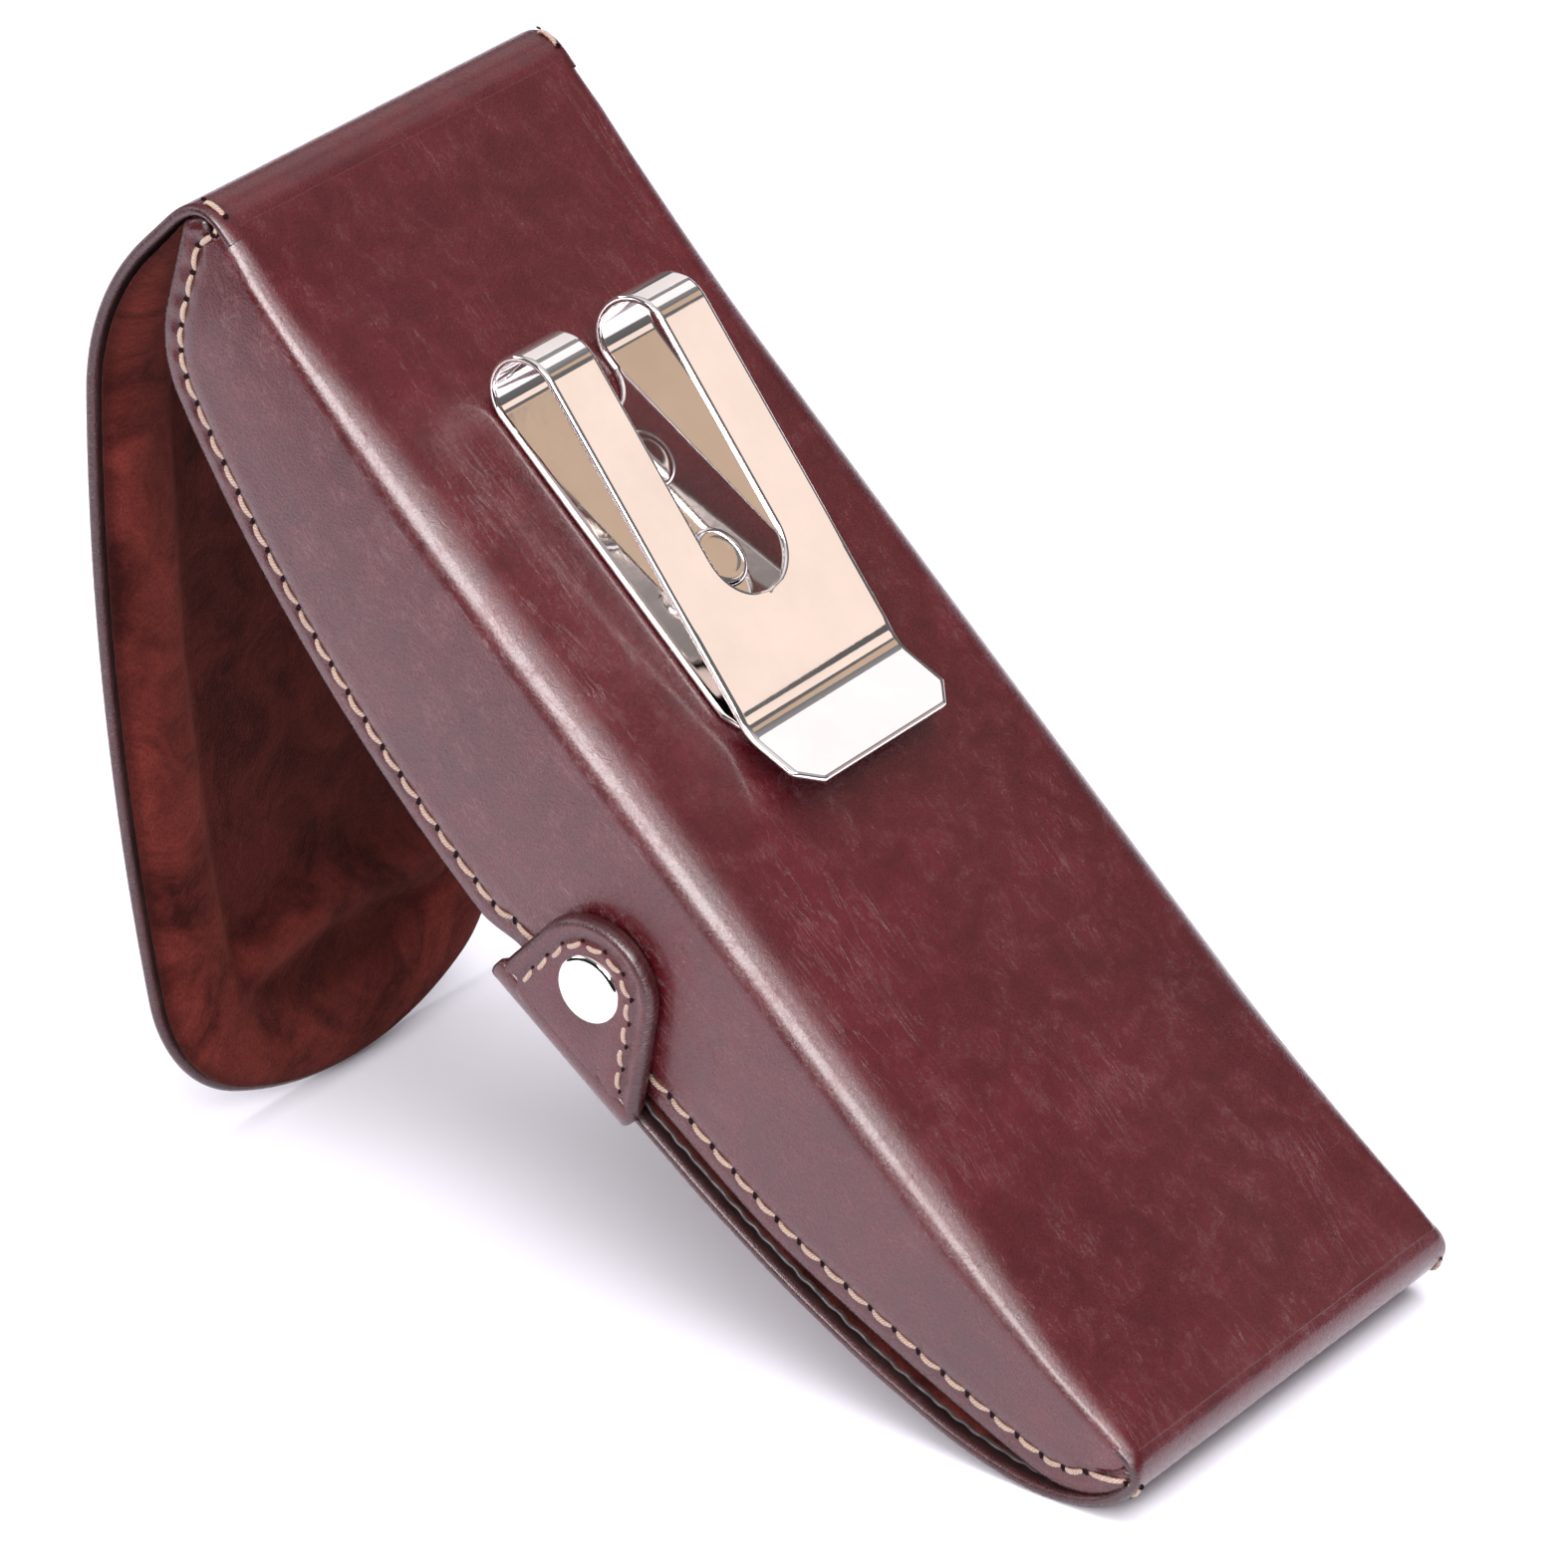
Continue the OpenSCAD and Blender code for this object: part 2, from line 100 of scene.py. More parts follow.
def lengths(points):
    return np.r_[0, np.cumsum(np.linalg.norm(np.diff(points, axis=0), axis=1))]


def along(path, s):
    """Points and headings of a path at the arc lengths s."""
    at = lengths(path[:, :2])
    s = np.asarray(s, float)
    q = np.stack([np.interp(s, at, path[:, k]) for k in range(3)], -1)
    over = s - at[-1]
    q[..., 0] += np.where(over > 0, over * np.cos(path[-1, 2]), 0)
    q[..., 1] += np.where(over > 0, over * np.sin(path[-1, 2]), 0)
    return q


def smooth(a, b, x):
    t = np.clip((np.asarray(x, float) - a) / (b - a), 0, 1)
    return t * t * (3 - 2 * t)


def quads(n, m, closed=False):
    """Faces of an n by m grid of points; closed joins the last column to the first."""
    i, j = np.meshgrid(np.arange(n - 1), np.arange(m if closed else m - 1), indexing="ij")
    k = (j + 1) % m
    return np.stack([i * m + j, i * m + k, (i + 1) * m + k, (i + 1) * m + j], -1).reshape(-1, 4)


def normals_of(points, faces):
    a, b, c, d = (points[faces[:, k]] for k in range(4))
    n = np.cross(c - a, d - b)
    total = np.zeros_like(points)
    for k in range(4):
        np.add.at(total, faces[:, k], n)
    return total / np.maximum(np.linalg.norm(total, axis=1, keepdims=True), 1e-15)


def mesh(name, points, faces, material, uv=None, slots=None, flip=False, shade=None):
    """A mesh object with smooth faces. Faces may be triangles where their last two corners are the same."""
    if flip:
        faces = [tuple(f)[::-1] for f in faces]
    faces = [tuple(dict.fromkeys(int(v) for v in f)) for f in faces]
    keep = [k for k, f in enumerate(faces) if len(f) > 2]
    faces = [faces[k] for k in keep]
    data = bpy.data.meshes.new(name)
    data.from_pydata(np.asarray(points).tolist(), [], faces)
    for m in material if isinstance(material, (list, tuple)) else [material]:
        data.materials.append(m)
    if slots is not None:
        data.polygons.foreach_set("material_index", np.asarray(slots)[keep].astype(np.int32))
    data.polygons.foreach_set("use_smooth", [True] * len(data.polygons))
    if uv is not None:
        layer = data.uv_layers.new(name="skin")
        index = np.zeros(len(data.loops), np.int32)
        data.loops.foreach_get("vertex_index", index)
        layer.data.foreach_set("uv", np.asarray(uv)[index].astype(np.float32).ravel())
    if shade is not None:
        layer = data.attributes.new("shade", "FLOAT", "POINT")
        layer.data.foreach_set("value", np.asarray(shade).astype(np.float32))
    data.update()
    obj = bpy.data.objects.new(name, data)
    bpy.context.scene.collection.objects.link(obj)
    return obj


def sheet(name, points, faces, uv, thick, bulge, materials, flip=False, top=None, bottom=None, open_rows=(), shade=None, turns=5):
    """A sheet with rounded edges. Points (mm, world axes) are the middle of the sheet; top and bottom move its two faces."""
    points, faces = np.asarray(points, float), np.asarray(faces)
    if flip:
        faces = faces[:, ::-1]
    n = len(points)
    normal = normals_of(points, faces)
    top = np.zeros(n) if top is None else top
    bottom = np.zeros(n) if bottom is None else bottom
    half = thick / 2
    edges = {}
    for f in faces:
        f = list(f)
        for a, b in zip(f, f[1:] + f[:1]):
            if a != b:
                key = (min(a, b), max(a, b))
                edges[key] = None if key in edges else (a, b)
    rim = [e for e in edges.values() if e is not None]
    skip = set(open_rows)
    rim = [e for e in rim if not (e[0] in skip and e[1] in skip)]
    out = np.zeros_like(points)
    for a, b in rim:
        side = np.cross(points[b] - points[a], normal[a] + normal[b])
        out[a] += side
        out[b] += side
    members = sorted({v for e in rim for v in e})
    out[members] /= np.maximum(np.linalg.norm(out[members], axis=1, keepdims=True), 1e-12)
    all_points = [points + normal * (half + top)[:, None], points - normal * (half + bottom)[:, None]]
    all_uv = [uv, uv]
    all_shade = [np.zeros(n) if shade is None else shade] * 2
    face_list = [faces, faces[:, ::-1] + n]
    slot_list = [np.zeros(len(faces), int), np.full(len(faces), 1)]
    place = {v: k for k, v in enumerate(members)}
    base = 2 * n
    m = np.array(members)
    for k in range(1, turns):
        a = math.pi / 2 - math.pi * k / turns
        lift = np.where(math.sin(a) > 0, half + top[m], half + bottom[m]) * math.sin(a)
        all_points.append(points[m] + out[m] * bulge * math.cos(a) + normal[m] * lift[:, None])
        all_uv.append(uv[m] + np.array([[0.0, 0.0]]) + 0.001 * bulge * k / turns)
        all_shade.append(np.full(len(m), 1.0))
    strip = []
    for a, b in rim:
        row = [(a, b)] + [(base + k * len(m) + place[a], base + k * len(m) + place[b]) for k in range(turns - 1)] + [(a + n, b + n)]
        for (p, q), (r, s) in zip(row, row[1:]):
            strip.append((q, p, r, s))
    if strip:
        face_list.append(np.array(strip))
        slot_list.append(np.full(len(strip), 2))
    return mesh(name, np.concatenate(all_points) / 1000, np.concatenate(face_list), materials, np.concatenate(all_uv),
                np.concatenate(slot_list), shade=np.concatenate(all_shade))


def mm(u, w, d):
    return world(u, w, d) * 1000


# ---------------------------------------------------------------- materials
class Nodes:
    """Short names for building a node tree."""

    def __init__(self, name):
        self.material = bpy.data.materials.new(name)
        self.material.use_nodes = True
        self.tree = self.material.node_tree
        self.tree.nodes.clear()
        self.out = self.tree.nodes.new("ShaderNodeOutputMaterial")
        self.skin = self.tree.nodes.new("ShaderNodeBsdfPrincipled")
        self.tree.links.new(self.skin.outputs[0], self.out.inputs[0])

    def put(self, kind, inputs=None, **facts):
        node = self.tree.nodes.new("ShaderNode" + kind)
        for k, v in facts.items():
            setattr(node, k, v)
        for k, v in (inputs or {}).items():
            self.set(node, k, v)
        return node

    def set(self, node, key, value):
        socket = node.inputs[key]
        if isinstance(value, bpy.types.NodeSocket):
            self.tree.links.new(value, socket)
        elif isinstance(value, bpy.types.Node):
            self.tree.links.new(value.outputs[0], socket)
        else:
            socket.default_value = value

    def base(self, **values):
        for k, v in values.items():
            self.set(self.skin, k.replace("_", " "), v)

    def coords(self, kind, scale):
        c = self.put("TexCoord")
        return self.put("Mapping", {"Vector": c.outputs[kind], "Scale": scale})

    def noise(self, where, scale, detail=3.0, rough=0.5, warp=0.0):
        return self.put("TexNoise", {"Vector": where, "Scale": scale, "Detail": detail, "Roughness": rough, "Distortion": warp}).outputs["Fac"]

    def ramp(self, value, low, high, a=0.0, b=1.0):
        return self.put("MapRange", {"Value": value, "From Min": low, "From Max": high, "To Min": a, "To Max": b}).outputs[0]

    def math(self, kind, a, b=0.0, clamp=False):
        n = self.put("Math", operation=kind, use_clamp=clamp)
        self.set(n, 0, a)
        self.set(n, 1, b)
        return n.outputs[0]

    def mix(self, share, a, b, kind="MIX"):
        n = self.put("Mix", data_type="RGBA", blend_type=kind)
        self.set(n, 0, share)
        self.set(n, 6, a)
        self.set(n, 7, b)
        return n.outputs[2]

    def bump(self, height, distance, strength=1.0, after=None):
        inputs = {"Height": height, "Distance": distance, "Strength": strength}
        if after is not None:
            inputs["Normal"] = after
        return self.put("Bump", inputs).outputs[0]


def colour(r, g, b):
    return (r, g, b, 1.0)


def leather(name, deep, bright, rough=0.23, grain=1.0):
    n = Nodes(name)
    at = n.coords("UV", (1000, 1000, 1000))
    cloud = n.noise(at, 0.045, 4, 0.6)
    blotch = n.noise(at, 0.22, 5, 0.65, 0.5)
    speck = n.noise(at, 2.6, 3, 0.65)
    pores = n.put("TexVoronoi", {"Vector": at, "Scale": 1.9, "Randomness": 1.0}, feature="DISTANCE_TO_EDGE").outputs["Distance"]

    def veins(turn, stretch, scale, low):
        lane = n.put("Mapping", {"Vector": at, "Scale": (1.0, stretch, 1.0), "Rotation": (0, 0, turn)})
        pull = n.noise(lane, scale, 5, 0.6, 1.2)
        line = n.math("SUBTRACT", 1.0, n.math("ABSOLUTE", n.math("SUBTRACT", pull, 0.5)))
        return n.ramp(line, low, 1.0)

    long = n.math("MULTIPLY", veins(0.10, 0.14, 0.30, 0.990), n.ramp(cloud, 0.50, 0.62))
    short = n.math("MULTIPLY", veins(-0.35, 0.4, 0.75, 0.982), n.ramp(blotch, 0.48, 0.66))
    crease = n.math("MAXIMUM", long, short)
    shade = n.put("Attribute", attribute_name="shade").outputs["Fac"]
    tone = n.mix(n.ramp(n.math("ADD", n.math("MULTIPLY", cloud, 0.5), n.math("MULTIPLY", blotch, 0.5)), 0.38, 0.62), deep, bright)
    tone = n.mix(n.math("MULTIPLY", n.ramp(speck, 0.42, 0.68), 0.42), tone, colour(*(x * 0.42 for x in deep[:3])))
    tone = n.mix(n.math("MULTIPLY", n.ramp(pores, 0.0, 0.11, 1.0, 0.0), 0.12), tone, colour(*(x * 0.35 for x in deep[:3])))
    tone = n.mix(n.math("MULTIPLY", crease, 0.27), tone, colour(bright[0] * 2.0, bright[1] * 4.5, bright[2] * 4.0))
    # the shade attribute darkens the colour towards half the deep tone: painted shade in stitch grooves, and darker
    # edges
    tone = n.mix(n.math("MULTIPLY", shade, 0.6, True), tone, colour(*(x * 0.5 for x in deep[:3])))
    n.base(Base_Color=tone, Specular_IOR_Level=0.5)
    gloss = n.math("ADD", n.ramp(blotch, 0.3, 0.7, rough - 0.04, rough + 0.06), n.math("MULTIPLY", n.ramp(speck, 0.4, 0.7), 0.08))
    n.base(Roughness=gloss)
    n.base(Coat_Weight=0.35, Coat_Roughness=0.17)
    grit = n.noise(at, 6.5, 3, 0.6)
    h1 = n.bump(n.ramp(pores, 0.0, 0.18), 0.00003 * grain, 0.3)
    h2 = n.bump(grit, 0.00005 * grain, 0.8, h1)
    h3 = n.bump(speck, 0.00009 * grain, 0.75, h2)
    h4 = n.bump(n.math("MULTIPLY", crease, -1.0), 0.00008, 0.6, h3)
    h5 = n.bump(blotch, 0.0005 * grain, 0.14, h4)
    n.base(Normal=h5)
    return n.material


def plush(name, dark, light):
    n = Nodes(name)
    at = n.coords("UV", (1000, 1000, 1000))
    nap = n.noise(at, 0.09, 5, 0.62, 1.2)
    tuft = n.noise(at, 0.5, 4, 0.6, 0.6)
    fibre = n.noise(n.put("Mapping", {"Vector": at, "Scale": (1.0, 0.35, 1.0)}), 5.5, 2, 0.7)
    tone = n.mix(n.ramp(nap, 0.36, 0.66), dark, light)
    tone = n.mix(n.math("MULTIPLY", n.ramp(tuft, 0.5, 0.75), 0.45), tone, light)
    tone = n.mix(n.math("MULTIPLY", n.ramp(fibre, 0.35, 0.6, 1.0, 0.0), 0.45), tone, colour(*(x * 0.4 for x in dark[:3])))
    # the shade attribute darkens the colour: painted shade in the lid's recess and edge crease, and darker rounded
    # edges
    shade = n.put("Attribute", attribute_name="shade").outputs["Fac"]
    tone = n.mix(n.math("MULTIPLY", shade, 0.75, True), tone, colour(*(x * 0.45 for x in dark[:3])))
    n.base(Base_Color=tone, Roughness=0.95, Specular_IOR_Level=0.08, Sheen_Weight=0.22, Sheen_Roughness=0.4)
    n.base(Sheen_Tint=colour(0.8, 0.22, 0.16))
    h1 = n.bump(fibre, 0.00022, 0.9)
    h2 = n.bump(tuft, 0.0005, 0.5, h1)
    n.base(Normal=n.bump(nap, 0.0012, 0.4, h2))
    return n.material


def thread_material():
    n = Nodes("waxed_thread")
    at = n.coords("UV", (1, 1, 1))
    ply = n.put("TexWave", {"Vector": at, "Scale": 1.0, "Distortion": 0.3}, wave_type="BANDS", bands_direction="DIAGONAL").outputs["Fac"]
    soil = n.noise(n.coords("Object", (1, 1, 1)), 160, 3, 0.6)
    tone = n.mix(n.ramp(ply, 0.2, 0.8), colour(0.30, 0.20, 0.145), colour(0.43, 0.31, 0.235))
    tone = n.mix(n.math("MULTIPLY", n.ramp(soil, 0.5, 0.75), 0.35), tone, colour(0.20, 0.12, 0.09))
    n.base(Base_Color=tone, Roughness=0.55, Sheen_Weight=0.2)
    n.base(Normal=n.bump(ply, 0.0001, 0.8))
    return n.material


def metal(name, tint, rough, scratch=0.4):
    n = Nodes(name)
    at = n.coords("Object", (1, 1, 1))
    haze = n.noise(at, 90, 4, 0.6)
    lines = n.noise(n.put("Mapping", {"Vector": at, "Scale": (1.0, 12.0, 1.0)}), 700, 2, 0.6)
    tone = n.mix(n.ramp(haze, 0.35, 0.7), tint, colour(*(min(1, x * 0.93) for x in tint[:3])))
    n.base(Base_Color=tone, Metallic=1.0)
    n.base(Roughness=n.math("ADD", n.ramp(haze, 0.3, 0.75, rough, rough * 2.0), n.math("MULTIPLY", n.ramp(lines, 0.62, 0.75), 0.08 * scratch)))
    n.base(Normal=n.bump(haze, 0.0004, 0.035, n.bump(lines, 0.00001, 0.05 * scratch)))
    return n.material


def plain(name, tint, rough, noise_scale=300, mottled=0.5, height=0.0001):
    n = Nodes(name)
    at = n.coords("Object", (1, 1, 1))
    f = n.noise(at, noise_scale, 4, 0.6)
    tone = n.mix(n.math("MULTIPLY", n.ramp(f, 0.35, 0.7), mottled), tint, colour(*(x * 0.5 for x in tint[:3])))
    n.base(Base_Color=tone, Roughness=rough, Specular_IOR_Level=0.04)
    n.base(Normal=n.bump(f, height, 0.4))
    return n.material


OXBLOOD = leather("oxblood_leather", colour(0.050, 0.0030, 0.0056), colour(0.084, 0.0062, 0.0100))
EDGE = leather("burnished_edge", colour(0.040, 0.0036, 0.006), colour(0.08, 0.008, 0.011), 0.24, 1.6)
BACKING = leather("backing_leather", colour(0.022, 0.005, 0.006), colour(0.04, 0.009, 0.009), 0.5, 1.4)
PLUSH = plush("brushed_plush", colour(0.026, 0.0030, 0.0024), colour(0.155, 0.026, 0.020))
THREAD = thread_material()
NICKEL = metal("polished_nickel", colour(0.93, 0.89, 0.87), 0.035)
STEEL = metal("plain_steel", colour(0.62, 0.61, 0.6), 0.25)
# painted shade: near black, for the shade inside the needle holes
HOLE_SHADE = plain("needle_hole_shade", colour(0.012, 0.004, 0.005), 0.8)


# ---------------------------------------------------------------- the body's leather
def rim_path():
    """The rim of a side wall, drawn in a little where the tab presses on it."""
    p = walk(*RIM, step=0.6)
    p[:, 1] -= 1.75 * smooth(75.0, 81.5, p[:, 0]) * (1 - smooth(100, 125, p[:, 0]))
    t = np.gradient(p[:, :2], axis=0)
    p[:, 2] = np.unwrap(np.arctan2(t[:, 1], t[:, 0]))
    low = [(1.2, 2.6, math.radians(118))]
    end = [(163.9, 2.2, math.radians(-118))]
    return np.vstack([low, p, end])


rim = rim_path()
rim_s = lengths(rim[:, :2])


def fold_radius(u):
    return 1.7 + 3.5 * smooth(-6, 42, u) * (1 - smooth(128, 168, u))


def body_grid():
    """Middle of the body's leather: rows along the case, columns from one rim, over the back, to the other."""
    # the foot of each rim point on the fold: below it, and a little further in where the rim slopes
    inward = np.stack([np.sin(rim[:, 2]), -np.cos(rim[:, 2])], -1)
    calm = np.convolve(np.pad(inward[:, 0], 12, mode="edge"), np.ones(25) / 25, "valid")
    lean = 6 * calm * smooth(0, 9, rim_s) * smooth(0, 9, rim_s[-1] - rim_s)
    foot = np.maximum.accumulate(np.clip(rim[:, 0] + lean, HINGE[0] - 0.1, LOW_U + 0.1))
    foot[-1] = LOW_U + 0.1
    n = len(rim)
    radius = fold_radius(foot)
    base = np.stack([foot, radius], -1)
    room = np.linalg.norm(rim[:, :2] - base, axis=1)
    near = [0, 0.3, 0.6, 0.9, 1.2, 1.5, 1.8, 2.0, 2.2, 2.4, 2.6, 2.9, 3.3, 3.8, 4.5, 5.5]
    cols, info = [], []
    reach = np.minimum(1, room * 0.6 / 5.5)
    for e in near:
        cols.append(rim[:, :2] + inward * (e * reach)[:, None])
        info.append(e * reach)
    last = cols[-1]
    for k in range(1, 17):
        f = k / 16
        cols.append(last * (1 - f) + base * f)
        info.append(5.5 * reach + f * np.linalg.norm(last - base, axis=1))
    wall = np.stack(cols, 1)
    depth_in = np.stack(info, 1)
    total = depth_in[:, -1:]
    share = np.clip(depth_in / np.maximum(total, 1e-6), 0, 1)
    bulge = (0.30 * np.sin(np.pi * share) + 0.45 * share ** 1.5) * smooth(4, 16, total)
    pinch = -0.35 * (1 - smooth(0.5, 4.5, depth_in))
    w_out = HALF - LEATHER / 2 + bulge + pinch
    fold_cols, fold_arc = [], []
    angles = np.linspace(0, math.pi / 2, 15)[1:]
    r = radius - LEATHER / 2
    swell = 0.45 * smooth(4, 16, total[:, 0])
    for a in angles:
        fold_cols.append(np.stack([foot, HALF + swell * math.cos(a) ** 2 - radius + r * math.cos(a), radius - r * math.sin(a)], -1))
        fold_arc.append(r * a)
    flat = np.linspace(0, 1, 24)[1:]
    back = []
    for f in flat:
        w = (HALF - radius) * (1 - f)
        back.append(np.stack([foot, w, np.full(n, LEATHER / 2)], -1))
    left = np.concatenate([np.stack([wall[..., 0], w_out, wall[..., 1]], -1), np.stack(fold_cols, 1), np.stack(back, 1)], 1)
    crown = 0.85 * (left[..., 1] / 27) ** 2
    over_back = np.zeros(left.shape[1])
    over_back[len(near) + 16:] = 1
    over_back[len(near) + 16:len(near) + 30] = np.linspace(0, 1, 14)
    left[..., 2] += crown * over_back * smooth(4, 18, left[..., 0]) * (1 - smooth(148, 161, left[..., 0]))
    s = left.shape[1]
    arc = np.zeros(left.shape[:2])
    step = np.linalg.norm(np.diff(left, axis=1), axis=2)
    arc[:, 1:] = np.cumsum(step, 1)
    arc = arc - arc[:, -1:]
    right = left[:, -2::-1].copy()
    right[..., 1] *= -1
    grid = np.concatenate([left, right], 1)
    arcs = np.concatenate([arc, -arc[:, -2::-1]], 1)
    ins = np.concatenate([depth_in, np.full((n, s - depth_in.shape[1]), 99.0)], 1)
    ins = np.concatenate([ins, ins[:, -2::-1]], 1)
    return grid, arcs, ins


grid, arcs, ins = body_grid()
rows, cols = grid.shape[:2]
body_points = mm(grid[..., 0], grid[..., 1], grid[..., 2]).reshape(-1, 3)
body_uv = np.stack([arcs + 300, grid[..., 0]], -1).reshape(-1, 2) / 1000
along_rim = np.broadcast_to(rim_s[:, None], ins.shape)
phase = np.cos(2 * np.pi * along_rim / STITCH)
groove = -0.16 * np.exp(-((ins - SEAM_IN) / 0.75) ** 2) * (1 + 0.55 * phase)
swell = 0.10 * np.exp(-((ins - 0.9) / 0.6) ** 2) * (1 - 0.5 * phase) + 0.05 * np.exp(-((ins - 4.0) / 0.9) ** 2)
relief = (groove + swell).reshape(-1)
# painted shade: darker in the stitch groove, most where the groove is deepest, plus a darker band right at the rim edge
groove_shade_and_dark_rim = np.clip(0.8 * np.exp(-((ins - SEAM_IN) / 0.6) ** 2) * (0.4 + 0.6 * phase) + 0.5 * np.exp(-(ins / 0.5) ** 2), 0, 1).reshape(-1)
body_faces = quads(rows, cols)
flush = [r * cols + c for r in (0, rows - 1) for c in range(cols) if abs(grid[r, c, 1]) < 27.3]
shell = sheet("shell_skin", body_points, body_faces, body_uv, LEATHER, 0.65, [OXBLOOD, BACKING, EDGE],
              flip=False, top=relief, shade=groove_shade_and_dark_rim, open_rows=flush)
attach(shell, "case")
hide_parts("shell_leather", "back_board", "left_wall_board", "right_wall_board")


# ---------------------------------------------------------------- strips that follow a side-view path
def strip_grid(path, s_rows, w_cols, depth=0.0):
    """Points of a strip: rows along the path, moved depth to the left of the path; w_cols, the columns across, is not
    used.
    """
    q = along(path, s_rows)
    u = q[:, 0] - depth * np.sin(q[:, 2])
    d = q[:, 1] + depth * np.cos(q[:, 2])
    return u, d, q[:, 2]


def edge_columns(half, fine=(0, 0.35, 0.7, 1.1, 1.5, 1.9, 2.3, 2.8, 3.5, 4.5, 6)):
    """Column places from -half to half, close together near the edges."""
    near = np.array(fine)
    middle = np.linspace(near[-1], 2 * half - near[-1], 22)[1:-1]
    return np.concatenate([near, middle, 2 * half - near[::-1]]) - half


# ---------------------------------------------------------------- lining of the body
def body_lining():
    """Plush inside the body, 2.4 mm behind the leather's outer face, thinner near the rim."""
    g = grid.copy()
    keep = slice(3, rows - 3)
    g = g[keep]
    inner = ins[keep]
    thin = smooth(0.8, 4.5, inner)
    g = g[:, 3:-3]
    thin = thin[:, 3:-3]
    p = mm(g[..., 0], g[..., 1], g[..., 2]).reshape(-1, 3)
    f = quads(*g.shape[:2])
    n = normals_of(p, f[:, ::-1])
    move = (0.65 + 0.35 + 1.5 * thin).reshape(-1)
    uv = np.stack([arcs[keep][:, 3:-3] + 100, g[..., 0]], -1).reshape(-1, 2) / 1000
    p = p + n * move[:, None]
    inside = np.stack([np.clip(g[..., 0], 5.5, LOW_U - 3.0), np.clip(g[..., 1], -27.6, 27.6), np.maximum(g[..., 2], 1.9)], -1)
    tight = (1 - smooth(4, 14, g[..., 0]) * (1 - smooth(LOW_U - 14, LOW_U - 4, g[..., 0]))).reshape(-1, 1)
    p = p * (1 - tight) + mm(inside[..., 0], inside[..., 1], inside[..., 2]).reshape(-1, 3) * tight
    return sheet("shell_plush", p, f, uv, 0.7, 0.35, [PLUSH, PLUSH, PLUSH], flip=False)


lining = body_lining()
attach(lining, "case")
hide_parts("shell_lining")

# ---------------------------------------------------------------- lower end and front flap
OVERLAP = 1.2
flap_path = np.vstack([[FLAP[0][0] - OVERLAP, FLAP[0][1], 0.0], walk(*FLAP, step=0.6)])
flap_len = lengths(flap_path[:, :2])[-1]


def flap_leather():
    """One piece from the end of the back panel round the lower end and up the front."""
    s_rows = np.concatenate([np.linspace(0, 18, 46), np.linspace(18, flap_len - 6, 130)[1:],
                             flap_len - 6 + np.array([1, 2, 2.8, 3.4, 3.9, 4.4, 4.9, 5.35])])
    w = edge_columns(HALF - 0.65)
    u, d, h = strip_grid(flap_path, s_rows, w, LEATHER / 2 + 0.03 * (1 - smooth(0.6, 1.6, s_rows)))
    n, m = len(s_rows), len(w)
    gap = np.minimum(w + HALF, HALF - w)[None, :]
    S = s_rows[:, None] + 0 * gap
    U = np.repeat(u[:, None], m, 1)
    D = np.repeat(d[:, None], m, 1)
    W = np.repeat(w[None, :], n, 0)
    edge_wave = 0.18 * np.sin(S / 2.1) * np.exp(-gap / 1.2) * smooth(12, 25, S)
    r = 2.2 * (1 - smooth(0, 7, S)) + 1e-6
    over = np.clip((np.abs(W) - (HALF - r)) / r, 0, 0.97)
    drop = r * (1 - np.sqrt(1 - over ** 2))
    U, D = U - drop * np.sin(h)[:, None], D + drop * np.cos(h)[:, None]
    p = mm(U, W, D).reshape(-1, 3)
    uv = np.stack([W + 300, FLAP[0][0] - OVERLAP + S], -1).reshape(-1, 2) / 1000
    gap2 = gap + 0 * S
    groove = -0.12 * np.exp(-((gap2 - SEAM_IN) / 0.7) ** 2) * smooth(8, 16, S)
    mouth = flap_len - S
    groove = np.minimum(groove, -0.14 * np.exp(-((mouth - SEAM_IN) / 0.7) ** 2) * (gap2 > 8))
    top = (groove + edge_wave * 0.4).reshape(-1)
    dark = (0.4 * np.exp(-(gap2 / 0.6) ** 2)).reshape(-1)
    obj = sheet("flap_skin", p, quads(n, m), uv, LEATHER, 0.65, [OXBLOOD, BACKING, EDGE], flip=FLAP_FLIP, top=top, shade=dark, open_rows=range(m))
    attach(obj, "case")
    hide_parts("flap_leather")


FLAP_FLIP = True
flap_leather()


